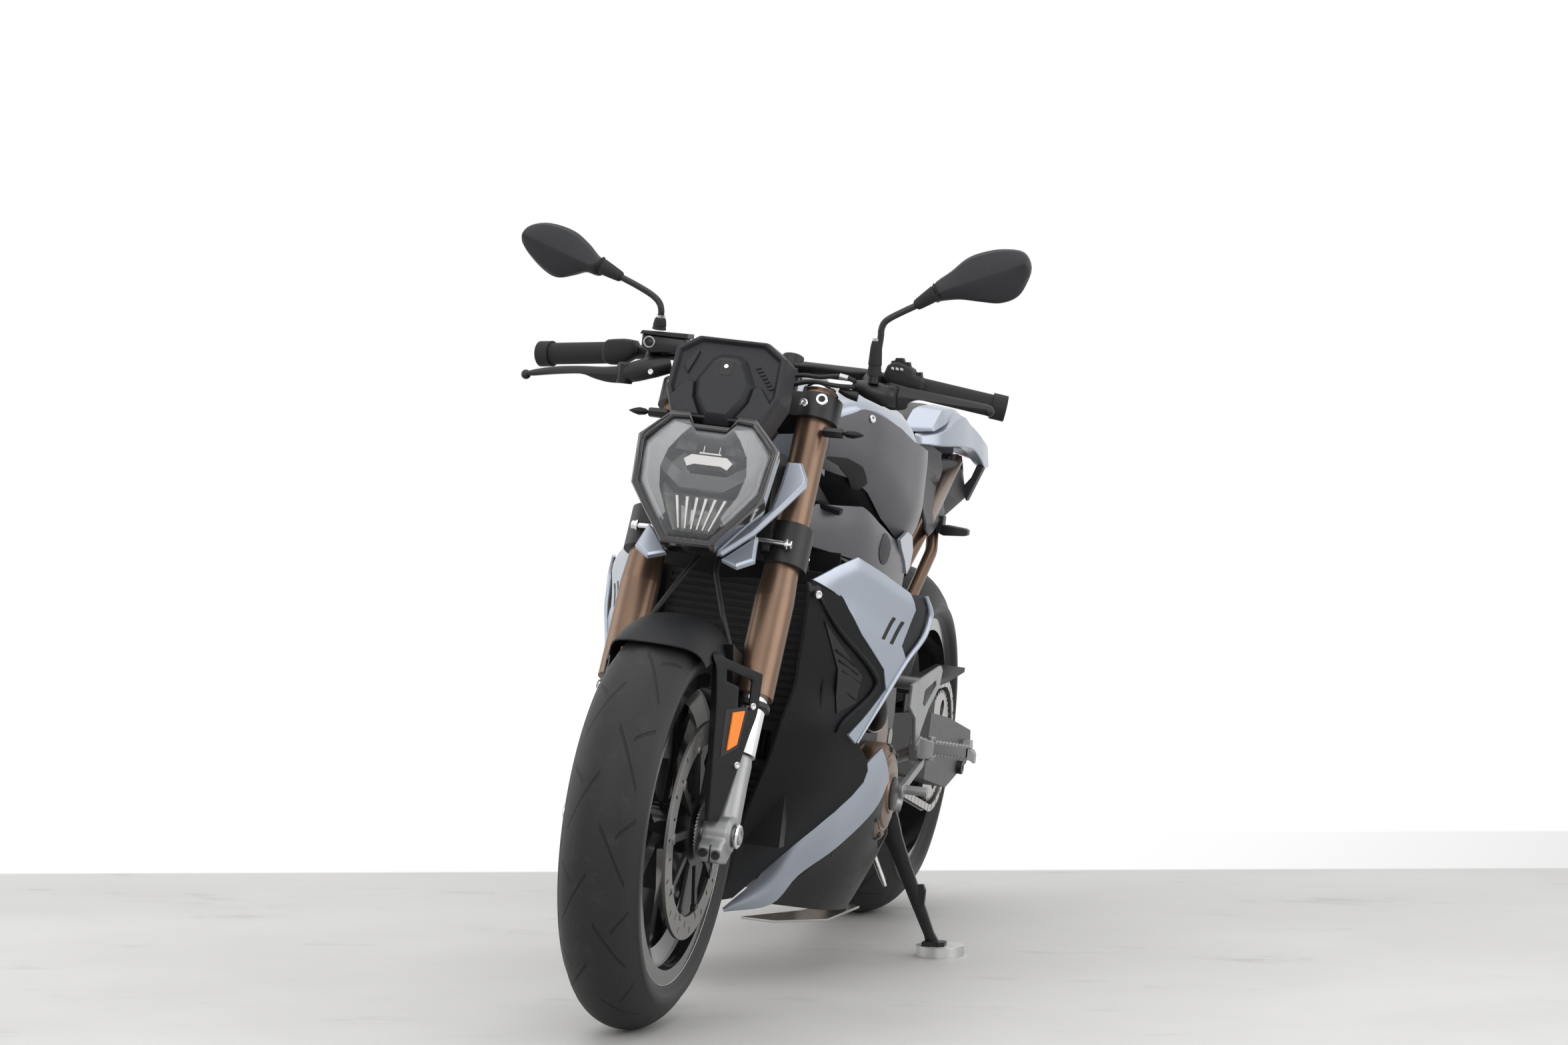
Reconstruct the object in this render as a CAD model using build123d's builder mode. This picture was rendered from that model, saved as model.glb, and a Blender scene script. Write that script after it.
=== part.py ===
from build123d import *

import os
from math import cos, pi, radians, sin, sqrt

os.makedirs("parts", exist_ok=True)

# A standard motorcycle parked on its side stand, in millimetres.
# It is modelled upright in its own frame: X to its left, Y to the rear, Z up, with the origin on the
# ground halfway between the axles. Each finished piece is leaned onto the stand as it is written.

# ---- stance and steering geometry
front_reach = 725
pivot_y = 135
pivot_height = 385
front_axle_height = 300.45
lean = 7
rake = 24.2
axle_lead = 35.41

# ---- tyres and rims
rim_seat_radius = 215.9
front_section_height = 84.1
front_crown_radius = 60
front_shoulder_half = 56
front_bulge_half = 60
front_bulge_rise = 34.1
rear_section_height = 104.1
rear_crown_radius = 96
rear_shoulder_half = 90
rear_bulge_half = 95
rear_bulge_rise = 32.1
tyre_wall = 8
tread_steps = 2
front_rim_half = 44.5
rear_rim_half = 76
rim_flange_height = 13
rim_flange_width = 6
rim_wall = 9
rim_well_depth = 25.9
rim_well_half = 18
rim_well_slope = 14
front_hub_radius = 36
rear_hub_radius = 48
rear_hub_half = 66
spoke_pairs = 5
spoke_root_width = 32
spoke_tip_width = 15
spoke_half_thickness = 12
spoke_fork_radius = 96
spoke_spread = 42

# ---- brake discs
front_disc_radius = 160
front_disc_band = 34
front_disc_thickness = 5
front_disc_offset = 66
front_carrier_radius = 52
rear_disc_radius = 110
rear_disc_band = 30
rear_disc_thickness = 5
rear_carrier_radius = 58
carrier_arm_width = 12
carrier_arms = 10
disc_slots = 15
disc_slot_rows = 2
disc_slot_step = 12
disc_slot_length = 11
disc_slot_width = 4.4
bobbin_radius = 8
bobbin_stand = 1.5

# ---- axles
axle_radius = 12.5
axle_bore_radius = 8.5
running_clearance = 0.05
front_axle_half = 134
rear_axle_half = 176
axle_nut_radius = 20
axle_nut_length = 14

# ---- fork
leg_spacing_half = 104.5
fork_offset = 29.2
fork_top = 705
fork_tube_radius = 27
fork_tube_lower_radius = 30
fork_tube_waist = 370
fork_tube_waist_length = 40
fork_tube_end = 215
slider_radius = 22.5
fork_cap_radius = 22
fork_cap_height = 8
foot_top = 124
foot_bottom = -36
foot_radius = 29
foot_boss_radius = 25

# ---- yokes, stem and head tube
upper_yoke_height = 659
upper_yoke_thickness = 40
lower_yoke_height = 420
lower_yoke_thickness = 66
yoke_clamp_wall = 10
yoke_bridge_rear = 26
stem_radius = 15
head_tube_radius = 34
head_tube_gap = 5
stem_nut_radius = 20
stem_nut_height = 8

# ---- handlebar and what it carries
bar_radius = 11
riser_height = 58.6
riser_lid = 6
bar_lead = 10.8
bar_bend_half = 165
bar_bend_radius = 70
bar_end_half = 352
bar_end_pull = 49
bar_end_drop = 23
riser_half = 45
riser_radius = 17
grip_radius = 17
grip_length = 122
bar_weight_radius = 20
bar_weight_length = 22

# ---- side stand and its pad
stand_pivot = (172, 62, 272)
stand_foot = (276, 150)
stand_pin_radius = 6
stand_leg_radius = 12
stand_eye_radius = 17
stand_foot_radius = 25
stand_foot_thickness = 8
stand_axis_tilt = 17
stand_travel = 74
puck_radius = 40
puck_height = 18
stand_seat_gap = 0.2

# ---- final drive
chain_pitch = 15.875
chain_line = 110
front_sprocket_teeth = 17
rear_sprocket_teeth = 45
front_sprocket_lead = 93
front_sprocket_rise = 3
sprocket_thickness = 7
sprocket_tip_drop = 12.5

# ---- swingarm and its pivot
swingarm_length = 590
pivot_tube_radius = 26
pivot_tube_half = 117
pivot_bolt_radius = 9
arm_inner = 127
arm_width = 38

# ================================================================ shared frames
rake_angle = radians(rake)
lean_angle = radians(lean)
front_tyre_radius = rim_seat_radius + front_section_height
rear_tyre_radius = rim_seat_radius + rear_section_height
front_bulge_radius = rim_seat_radius + front_bulge_rise
rear_bulge_radius = rim_seat_radius + rear_bulge_rise
rim_well_radius = rim_seat_radius - rim_well_depth


def axle_height(tyre_radius, crown_radius):
    """Height of an axle above the ground, square to the lean, when the leaning tyre just touches it."""
    return tyre_radius - crown_radius + crown_radius / cos(lean_angle)


ground_level = front_axle_height - axle_height(front_tyre_radius, front_crown_radius)
rear_axle_height = ground_level + axle_height(rear_tyre_radius, rear_crown_radius)
front_centre = Vector(0, -front_reach, front_axle_height)
rear_centre = Vector(0, pivot_y + swingarm_length, rear_axle_height)

front_sprocket_y = pivot_y - front_sprocket_lead
front_sprocket_height = pivot_height + front_sprocket_rise
pivot_place = (pivot_y, pivot_height)
rear_place = (rear_centre.Y, rear_centre.Z)

steering_direction = Vector(0, sin(rake_angle), cos(rake_angle))
steering_forward = Vector(0, -cos(rake_angle), sin(rake_angle))
steering_foot = front_centre - steering_forward * axle_lead
steering_axis = Axis(steering_foot, steering_direction)
ground = Plane(origin=(0, 0, ground_level), x_dir=(cos(lean_angle), 0, sin(lean_angle)),
               z_dir=(-sin(lean_angle), 0, cos(lean_angle)))


def yoke_plane(height):
    """Plane square to the steering axis: local x to the left, local -y forward."""
    return Plane(origin=steering_foot + steering_direction * height, x_dir=(1, 0, 0),
                 z_dir=steering_direction)


def face_plane(forward, height=0):
    """Plane facing forward, parallel to the steering axis: local x left, local y up the axis."""
    return Plane(origin=steering_foot + steering_forward * forward + steering_direction * height,
                 x_dir=(1, 0, 0), z_dir=steering_forward)


def wheel_plane(centre, offset=0):
    """Plane across a wheel: local x to the rear, local y up, normal to the left."""
    return Plane(origin=centre + Vector(offset, 0, 0), x_dir=(0, 1, 0), z_dir=(1, 0, 0))


def section_plane(centre):
    """Plane holding a wheel's axis: local x along the axis, local y up from it."""
    return Plane(origin=centre, x_dir=(1, 0, 0), z_dir=(0, -1, 0))


def beyond(point, offsets):
    """Places along the motorcycle, given by their offsets to the rear and up from a point's."""
    return [(point[0] + back, point[1] + up) for back, up in offsets]


def across(y):
    """Plane across the motorcycle at y: local x to the left, local y up."""
    return Plane(origin=(0, y, 0), x_dir=(1, 0, 0), z_dir=(0, -1, 0))


def beside(x):
    """Plane along the motorcycle at x: local x to the rear, local y up, normal to the left."""
    return Plane(origin=(x, 0, 0), x_dir=(0, 1, 0), z_dir=(1, 0, 0))


def above(z):
    """Level plane at z: local x to the left, local y to the rear."""
    return Plane(origin=(0, 0, z), x_dir=(1, 0, 0), z_dir=(0, 0, 1))


# ================================================================ helpers
def mirrored(half):
    """A half outline with x above zero, closed by its mirror image."""
    return [*half, *[(-x, z) for x, z in reversed(half)]]


def rod(start, end, radius, bore=0):
    """A round bar or sleeve between two points."""
    direction = Vector(*end) - Vector(*start)
    with BuildPart() as bar:
        with BuildSketch(Plane(origin=start, z_dir=direction)):
            Circle(radius)
            if bore:
                Circle(bore, mode=Mode.SUBTRACT)
        extrude(amount=direction.length)
    return bar.part


def bent_tube(points, bend_radius, radius, bore=0):
    """A round tube along straight runs joined by tangent arcs."""
    with BuildPart() as tube:
        with BuildLine() as path:
            if len(points) > 2:
                FilletPolyline(*points, radius=bend_radius)
            else:
                Line(*points)
        with BuildSketch(Plane(origin=path.line @ 0, z_dir=path.line % 0)):
            Circle(radius)
            if bore:
                Circle(bore, mode=Mode.SUBTRACT)
        sweep(path=path.line)
    return tube.part


def lofted(sections, ruled=False):
    """A solid through closed polygons, each given as (plane, points)."""
    with BuildPart() as body:
        for plane, points in sections:
            with BuildSketch(plane):
                Polygon(*points)
        loft(ruled=ruled)
    return body.part


def slab(plane, points, thickness, both=False):
    """A polygon on a plane, given a thickness along the plane's normal."""
    with BuildPart() as body:
        with BuildSketch(plane):
            Polygon(*points)
        extrude(amount=thickness, both=both)
    return body.part


def both_sides(part):
    """Add a left-hand solid and its mirror image on the right."""
    add(part)
    add(mirror(part, about=Plane.YZ, mode=Mode.PRIVATE))


pieces = {}


def finish(label, piece):
    """Keep a finished piece under its label until it is leaned and written."""
    piece.part.label = label
    pieces[label] = piece


# ================================================================ wheels
rim_top = rim_seat_radius + rim_flange_height


def rim_barrel(centre, half):
    """Flanges, bead seats and drop well, turned about the axle."""
    under = rim_seat_radius - rim_wall
    side = half + rim_flange_width
    with BuildPart() as barrel:
        with BuildSketch(section_plane(centre)):
            Polygon(*mirrored([
                (rim_well_half, rim_well_radius),
                (rim_well_half + rim_well_slope, rim_seat_radius),
                (half, rim_seat_radius),
                (half, rim_top),
                (side, rim_top),
                (side, under),
                (rim_well_half + rim_well_slope, under),
                (rim_well_half, rim_well_radius - rim_wall),
            ]))
        revolve(axis=Axis(centre, (1, 0, 0)))
    return barrel.part


def forked_spokes(centre, hub_radius):
    """Spokes that leave the hub singly and fork in two on the way to the rim."""
    tip = rim_well_radius - rim_wall / 2
    root = hub_radius * 0.8
    with BuildPart() as spokes:
        with BuildSketch(wheel_plane(centre)):
            with PolarLocations(0, spoke_pairs):
                Polygon(
                    (root, -spoke_root_width / 2),
                    (spoke_fork_radius, -spoke_root_width / 2),
                    (tip, -spoke_spread - spoke_tip_width / 2),
                    (tip, -spoke_spread + spoke_tip_width / 2),
                    (spoke_fork_radius + spoke_root_width, 0),
                    (tip, spoke_spread - spoke_tip_width / 2),
                    (tip, spoke_spread + spoke_tip_width / 2),
                    (spoke_fork_radius, spoke_root_width / 2),
                    (root, spoke_root_width / 2),
                )
        extrude(amount=spoke_half_thickness, both=True)
    return spokes.part


def tyre_ring(centre, rim_half, radius, crown, shoulder_half, bulge_half, bulge_radius):
    """A hollow tyre whose beads sit on the rim between its flanges. Its tread is a rounded crown."""
    crown_middle = radius - crown
    shoulder = crown_middle + sqrt(crown**2 - shoulder_half**2)
    rim_side = rim_half + rim_flange_width
    tread = [shoulder_half * step / tread_steps for step in range(tread_steps, -1, -1)]
    outside = [(rim_half - tyre_wall, rim_seat_radius), (rim_half, rim_seat_radius), (rim_half, rim_top),
               (rim_side, rim_top), (bulge_half, bulge_radius),
               *[(x, crown_middle + sqrt(crown**2 - x**2)) for x in tread if x]]
    inside = [(shoulder_half / 2, shoulder), (bulge_half - tyre_wall, bulge_radius)]
    with BuildPart() as ring:
        with BuildSketch(section_plane(centre)):
            Polygon(*outside, (0, radius), *[(-x, up) for x, up in reversed(outside)],
                    *[(-x, up) for x, up in reversed(inside)], *inside)
        revolve(axis=Axis(centre, (1, 0, 0)))
    return ring.part


def brake_rotor(centre, offset, radius, band, thickness, carrier_radius):
    """A slotted ring carried by a star-shaped carrier on round bobbins, beside the wheel."""
    plane = wheel_plane(centre, offset)
    inner = radius - band
    with BuildPart() as rotor:
        with BuildSketch(plane):
            Circle(radius)
            Circle(inner, mode=Mode.SUBTRACT)
            for row in range(disc_slot_rows):
                place = inner + band * (row + 1) / (disc_slot_rows + 1)
                with PolarLocations(place, disc_slots, start_angle=row * disc_slot_step):
                    SlotOverall(disc_slot_length, disc_slot_width, mode=Mode.SUBTRACT)
            with PolarLocations((inner + carrier_radius) / 2, carrier_arms):
                Rectangle(inner - carrier_radius + band / 3, carrier_arm_width)
            Circle(carrier_radius)
            Circle(axle_nut_radius + 2, mode=Mode.SUBTRACT)
        extrude(amount=thickness / 2, both=True)
        with BuildSketch(plane):
            with PolarLocations(inner, carrier_arms):
                Circle(bobbin_radius)
        extrude(amount=thickness / 2 + bobbin_stand, both=True)
    return rotor.part


front_hub_half = front_disc_offset - front_disc_thickness / 2

with BuildPart() as front_rim:
    add(rim_barrel(front_centre, front_rim_half))
    add(forked_spokes(front_centre, front_hub_radius))
    with BuildSketch(wheel_plane(front_centre)):
        Circle(front_hub_radius)
    extrude(amount=front_hub_half, both=True)
    with BuildSketch(wheel_plane(front_centre)):
        Circle(axle_radius + running_clearance)
    extrude(amount=front_hub_half, both=True, mode=Mode.SUBTRACT)
finish("front_rim", front_rim)

with BuildPart() as front_tyre:
    add(tyre_ring(front_centre, front_rim_half, front_tyre_radius, front_crown_radius,
                  front_shoulder_half, front_bulge_half, front_bulge_radius))
finish("front_tyre", front_tyre)

with BuildPart() as front_discs:
    for side in (1, -1):
        add(brake_rotor(front_centre, side * front_disc_offset, front_disc_radius, front_disc_band,
                        front_disc_thickness, front_carrier_radius))
finish("front_discs", front_discs)

rear_disc_offset = rear_hub_half + rear_disc_thickness / 2
sprocket_carrier_half = chain_line - sprocket_thickness / 2

with BuildPart() as rear_rim:
    add(rim_barrel(rear_centre, rear_rim_half))
    add(forked_spokes(rear_centre, rear_hub_radius))
    with BuildSketch(wheel_plane(rear_centre, -rear_hub_half)):
        Circle(rear_hub_radius)
    extrude(amount=rear_hub_half + sprocket_carrier_half)
    with BuildSketch(wheel_plane(rear_centre, -rear_hub_half)):
        Circle(axle_radius + running_clearance)
    extrude(amount=rear_hub_half + sprocket_carrier_half, mode=Mode.SUBTRACT)
finish("rear_rim", rear_rim)

with BuildPart() as rear_tyre:
    add(tyre_ring(rear_centre, rear_rim_half, rear_tyre_radius, rear_crown_radius,
                  rear_shoulder_half, rear_bulge_half, rear_bulge_radius))
finish("rear_tyre", rear_tyre)

with BuildPart() as rear_disc:
    add(brake_rotor(rear_centre, -rear_disc_offset, rear_disc_radius, rear_disc_band,
                    rear_disc_thickness, rear_carrier_radius))
finish("rear_disc", rear_disc)


def pitch_radius(teeth):
    """Radius of the roller centres round a sprocket."""
    return chain_pitch / (2 * sin(pi / teeth))


front_sprocket_radius = pitch_radius(front_sprocket_teeth)
rear_sprocket_radius = pitch_radius(rear_sprocket_teeth)

with BuildPart() as rear_sprocket:
    root = rear_sprocket_radius - sprocket_tip_drop - chain_pitch / 3
    tip = rear_sprocket_radius - sprocket_tip_drop
    with BuildSketch(wheel_plane(rear_centre, chain_line)):
        Circle(root)
        with PolarLocations(root, rear_sprocket_teeth):
            Polygon((-2, -chain_pitch / 4), (tip - root, -chain_pitch / 8),
                    (tip - root, chain_pitch / 8), (-2, chain_pitch / 4))
        with PolarLocations(root * 0.72, spoke_pairs):
            Circle(root * 0.17, mode=Mode.SUBTRACT)
        Circle(axle_nut_radius + 2, mode=Mode.SUBTRACT)
    extrude(amount=sprocket_thickness / 2, both=True)
finish("rear_sprocket", rear_sprocket)

# ================================================================ fork and steering head
leg_places = [(side * leg_spacing_half, -fork_offset) for side in (1, -1)]


def leg_section(side):
    """Plane holding one fork leg's axis: local x to the left, local y up the leg."""
    return Plane(origin=yoke_plane(0).from_local_coords((side * leg_spacing_half, -fork_offset, 0)),
                 x_dir=(1, 0, 0), z_dir=steering_forward)


def turned_legs(profile):
    """A pair of solids turned about the fork legs from one (radius, height) outline."""
    with BuildPart() as legs:
        for side in (1, -1):
            plane = leg_section(side)
            with BuildSketch(plane):
                Polygon(*profile)
            revolve(axis=Axis(plane.origin, steering_direction))
    return legs.part


with BuildPart() as fork_tubes:
    add(turned_legs([
        (slider_radius, fork_tube_end),
        (fork_tube_lower_radius, fork_tube_end),
        (fork_tube_lower_radius, fork_tube_waist),
        (fork_tube_radius, fork_tube_waist + fork_tube_waist_length),
        (fork_tube_radius, fork_top),
        (fork_cap_radius, fork_top),
        (fork_cap_radius, fork_top + fork_cap_height),
        (0, fork_top + fork_cap_height),
        (0, fork_tube_waist),
        (slider_radius, fork_tube_waist),
    ]))
finish("fork_tubes", fork_tubes)

with BuildPart() as fork_sliders:
    add(turned_legs([(0, foot_top), (slider_radius, foot_top), (slider_radius, fork_tube_waist),
                     (0, fork_tube_waist)]))
finish("fork_sliders", fork_sliders)

caliper_slot_half = front_disc_thickness / 2 + 5
caliper_outer_half = 12
caliper_start = 4
caliper_sweep = 46
caliper_inner_radius = 118
caliper_outer_radius = 180
caliper_bridge = 12

with BuildPart() as fork_feet:
    add(turned_legs([(0, foot_bottom), (foot_radius * 0.7, foot_bottom), (foot_radius, 0),
                     (foot_radius, foot_top), (0, foot_top)]))
    for side in (1, -1):
        with BuildSketch(wheel_plane(front_centre, side * (leg_spacing_half - foot_radius))):
            Circle(foot_boss_radius + 4)
        extrude(amount=side * (foot_radius + 22))
    with BuildSketch(wheel_plane(front_centre)):
        Circle(axle_radius)
    extrude(amount=front_axle_half, both=True, mode=Mode.SUBTRACT)
    for side in (1, -1):
        lug = front_disc_offset + caliper_slot_half + caliper_outer_half
        add(slab(beside(side * lug), [(-700, 330), (-640, 330), (-600, 380), (-620, 420), (-672, 400)],
                 side * (leg_spacing_half - lug)))
    add(fork_sliders.part, mode=Mode.SUBTRACT)
finish("fork_feet", fork_feet)

with BuildPart() as front_axle:
    with BuildSketch(wheel_plane(front_centre)):
        Circle(axle_radius)
        Circle(axle_bore_radius, mode=Mode.SUBTRACT)
    extrude(amount=front_axle_half, both=True)
finish("front_axle", front_axle)


def caliper(centre, offset, start, sweep_angle, inner, outer, slot_half, side_width, bridge):
    """A block curved about the axle, with a slot that the disc runs through."""
    with BuildPart() as block:
        with BuildSketch(wheel_plane(centre, offset)):
            Circle(outer)
            Circle(inner, mode=Mode.SUBTRACT)
            Polygon((0, 0), (3 * outer * cos(radians(start)), 3 * outer * sin(radians(start))),
                    (3 * outer * cos(radians(start + sweep_angle)),
                     3 * outer * sin(radians(start + sweep_angle))), mode=Mode.INTERSECT)
        extrude(amount=slot_half + side_width, both=True)
        with BuildSketch(wheel_plane(centre, offset)):
            Circle(outer - bridge)
        extrude(amount=slot_half, both=True, mode=Mode.SUBTRACT)
    return block.part


with BuildPart() as front_calipers:
    for side in (1, -1):
        add(caliper(front_centre, side * front_disc_offset, caliper_start, caliper_sweep,
                    caliper_inner_radius, caliper_outer_radius, caliper_slot_half, caliper_outer_half,
                    caliper_bridge))
    add(fork_feet.part, mode=Mode.SUBTRACT)
finish("front_calipers", front_calipers)


def yoke(height, thickness, tube_radius):
    """A clamp round both legs and the stem, joined by a bridge."""
    clamp = tube_radius + yoke_clamp_wall
    with BuildPart() as plate:
        with BuildSketch(yoke_plane(height)):
            Polygon(*mirrored([
                (leg_spacing_half, -fork_offset - clamp * 0.8),
                (leg_spacing_half, -fork_offset + clamp * 0.8),
                (stem_nut_radius + yoke_clamp_wall, yoke_bridge_rear),
            ]))
            with Locations(*leg_places):
                Circle(clamp)
            Circle(head_tube_radius)
            with Locations(*leg_places):
                Circle(tube_radius, mode=Mode.SUBTRACT)
        extrude(amount=thickness)
    return plate.part


lower_yoke_top = lower_yoke_height + lower_yoke_thickness
upper_yoke_middle = upper_yoke_height + upper_yoke_thickness / 2
bar_up = upper_yoke_height + upper_yoke_thickness + riser_height
bar_centre = yoke_plane(bar_up).from_local_coords((0, -bar_lead, 0))
bar_centre_y = bar_centre.Y
bar_height = bar_centre.Z
head_tube_length = upper_yoke_height - lower_yoke_top - 2 * head_tube_gap

with BuildPart() as yokes:
    add(yoke(upper_yoke_height, upper_yoke_thickness, fork_tube_radius))
    with BuildSketch(yoke_plane(upper_yoke_height + upper_yoke_thickness)):
        Circle(stem_nut_radius)
    extrude(amount=stem_nut_height)
    add(yoke(lower_yoke_height, lower_yoke_thickness, fork_tube_radius))
    add(rod(yoke_plane(lower_yoke_height).origin, yoke_plane(upper_yoke_height).origin, stem_radius))
    for side in (1, -1):
        add(rod(yoke_plane(upper_yoke_middle).from_local_coords((side * riser_half, -bar_lead, 0)),
                yoke_plane(bar_up + bar_radius + riser_lid).from_local_coords((side * riser_half, -bar_lead, 0)),
                riser_radius))
    add(rod((-bar_bend_half, bar_centre_y, bar_height), (bar_bend_half, bar_centre_y, bar_height),
            bar_radius), mode=Mode.SUBTRACT)
finish("yokes", yokes)

# ================================================================ handlebar and controls
bar_ends = [Vector(side * bar_end_half, bar_centre_y + bar_end_pull, bar_height - bar_end_drop)
            for side in (1, -1)]
bar_bends = [Vector(side * bar_bend_half, bar_centre_y, bar_height) for side in (1, -1)]


def along_bar(side, distance):
    """The point on the bar's outer part at a distance inboard of its end."""
    end, bend = (bar_ends[0], bar_bends[0]) if side > 0 else (bar_ends[1], bar_bends[1])
    return end + (bend - end).normalized() * distance


def bar_plane(side, distance):
    """Plane square to the bar, its normal pointing inboard and its local y up."""
    here = along_bar(side, distance)
    inboard = along_bar(side, distance + 1) - here
    return Plane(origin=here, x_dir=inboard.cross(Vector(0, 0, 1)), z_dir=inboard)


with BuildPart() as handlebar:
    add(bent_tube([bar_ends[0], bar_bends[0], bar_bends[1], bar_ends[1]], bar_bend_radius, bar_radius))
finish("handlebar", handlebar)

with BuildPart() as grips:
    for side in (1, -1):
        add(rod(along_bar(side, 0), along_bar(side, grip_length), grip_radius, bar_radius))
        add(rod(along_bar(side, -bar_weight_length), along_bar(side, 0), bar_weight_radius))
finish("grips", grips)

control_width = 44
control_depth = 50
control_corner = 12
perch_radius = 17
perch_width = 46
perch_start = grip_length + 62
lever_root_reach = 62
lever_root_radius = 13
lever_radius = 6
lever_ball_radius = 9
lever_reach = 66
reservoir_inner = 106
reservoir_width = 90
reservoir_front = 54
reservoir_depth = 42
reservoir_height = 30
reservoir_lid = 6

with BuildPart() as bar_controls:
    forward = Vector(0, -1, 0)
    for side in (1, -1):
        with BuildSketch(bar_plane(side, grip_length + 2)):
            RectangleRounded(control_width, control_depth, control_corner)
        extrude(amount=control_width)
        with BuildSketch(bar_plane(side, grip_length + 2 + control_width)):
            Circle(perch_radius)
        extrude(amount=perch_width)
        root = along_bar(side, perch_start - 10)
        lever_pivot = root + forward * lever_root_reach + Vector(0, 0, -4)
        tip = along_bar(side, 2) + forward * lever_reach
        add(rod(root + forward * 4, lever_pivot, lever_root_radius))
        add(rod(lever_pivot, tip, lever_radius))
        with Locations(tip):
            Sphere(lever_ball_radius)
    reservoir = [(-reservoir_inner - reservoir_width, bar_centre_y - reservoir_front),
                 (-reservoir_inner, bar_centre_y - reservoir_front),
                 (-reservoir_inner, bar_centre_y - reservoir_front + reservoir_depth),
                 (-reservoir_inner - reservoir_width, bar_centre_y - reservoir_front + reservoir_depth)]
    add(slab(above(bar_height + 4), reservoir, reservoir_height))
    with BuildSketch(above(bar_height + 4 + reservoir_height)):
        with Locations((-reservoir_inner - reservoir_width / 2,
                        bar_centre_y - reservoir_front + reservoir_depth / 2)):
            Rectangle(reservoir_width + 6, reservoir_depth + 6)
    extrude(amount=reservoir_lid)
    for side in (1, -1):
        add(rod(along_bar(side, -1), along_bar(side, perch_start + 20), bar_radius), mode=Mode.SUBTRACT)
    add(handlebar.part, mode=Mode.SUBTRACT)
finish("bar_controls", bar_controls)

mirror_rod_radius = 5
mirror_bend_radius = 24
mirror_boot_radius = 9
mirror_boot_length = 26
mirror_thickness = 26
mirror_taper = 0.84
mirror_domed = 0.6


def from_bar(x, back, up):
    """A point placed from the middle of the handlebar."""
    return Vector(x, bar_centre_y + back, bar_height + up)


def rear_view_mirror(base, bend, neck, outline):
    """A bent rod with a boot at its foot and a domed head whose flat glass faces the rider."""
    points = [from_bar(*base), from_bar(*bend), from_bar(*neck)]
    middle = sum((Vector(x, 0, up) for x, up in outline), Vector()) / len(outline)
    half = mirror_thickness / 2
    with BuildPart() as whole:
        add(bent_tube(points, mirror_bend_radius, mirror_rod_radius))
        add(rod(points[0], points[0] + (points[1] - points[0]).normalized() * mirror_boot_length,
                mirror_boot_radius))
        for back, share in ((half, 1), (-half * mirror_domed, mirror_taper), (-half, mirror_domed)):
            with BuildSketch(Plane(origin=from_bar(middle.X, neck[1] + back, middle.Z), x_dir=(1, 0, 0),
                                   z_dir=(0, -1, 0))):
                with BuildLine():
                    Spline(*[((x - middle.X) * share, (up - middle.Z) * share) for x, up in outline],
                           periodic=True)
                make_face()
        loft()
    return whole.part


with BuildPart() as mirrors:
    add(rear_view_mirror((190, -54, -6), (198, -60, 89), (300, -48, 150),
                         [(272, 142), (300, 128), (360, 130), (402, 152), (410, 188), (366, 215), (306, 198)]))
    add(rear_view_mirror((-160, -54, 40), (-164, -60, 85), (-276, -48, 130),
                         [(-248, 116), (-276, 102), (-338, 98), (-384, 114), (-396, 148), (-354, 178),
                          (-290, 166)]))
    add(bar_controls.part, mode=Mode.SUBTRACT)
finish("mirrors", mirrors)

# ================================================================ headlight, fins and display
face_forward = 195
face_height = 465
lamp_depth = 120
lamp_rear_share = 0.5
lamp_waist = 60
lamp_waist_share = 0.86
bowl_depth = 46
bowl_share = 0.72
bowl_mouth_share = 0.96
lamp_stay_half = [(34, 12), (34, -36)]
lamp_stay_length = 22
bezel_height = 9
lens_gap = 1
lens_depth = 7
lens_crown_share = 0.9
lens_half = [(24, 92), (37, 109), (61, 107), (96, 66), (91, 2), (67, -32), (32, -80)]
shell_half = [(28, 100), (37, 117), (65, 117), (107, 74), (101, -4), (75, -40), (37, -91)]


def scaled(points, share):
    """The outline made smaller about the middle of the lamp."""
    return [(x * share, up * share) for x, up in points]


def facing(forward):
    """Plane facing forward through the lamp's middle: local x to the left, local y up the fork."""
    return face_plane(forward, face_height)


with BuildPart() as headlight_shell:
    add(lofted([
        (facing(face_forward - lamp_depth), mirrored(scaled(shell_half, lamp_rear_share))),
        (facing(face_forward - lamp_waist), mirrored(scaled(shell_half, lamp_waist_share))),
        (facing(face_forward), mirrored(shell_half)),
    ]))
    add(slab(facing(face_forward), mirrored(shell_half), bezel_height))
    with BuildSketch(facing(face_forward)):
        Polygon(*mirrored(lens_half))
        offset(amount=lens_gap)
    extrude(amount=bezel_height, mode=Mode.SUBTRACT)
    add(lofted([
        (facing(face_forward - bowl_depth), mirrored(scaled(lens_half, bowl_share))),
        (facing(face_forward), mirrored(scaled(lens_half, bowl_mouth_share))),
    ]), mode=Mode.SUBTRACT)
    add(slab(facing(face_forward - lamp_depth), mirrored(lamp_stay_half), -lamp_stay_length))
    add(yokes.part, mode=Mode.SUBTRACT)
finish("headlight_shell", headlight_shell)

with BuildPart() as headlight_lens:
    add(lofted([
        (facing(face_forward), mirrored(lens_half)),
        (facing(face_forward + lens_depth), mirrored(scaled(lens_half, 0.98))),
        (facing(face_forward + 2 * lens_depth), mirrored(scaled(lens_half, lens_crown_share))),
    ], ruled=True))
finish("headlight_lens", headlight_lens)

bowl_floor = face_forward - bowl_depth
insert_reach = 34
band_low = 10
band_high = 24
fin_half_thickness = 1.5
projector_x = 30
projector_up = 50
projector_radius = 21

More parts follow.
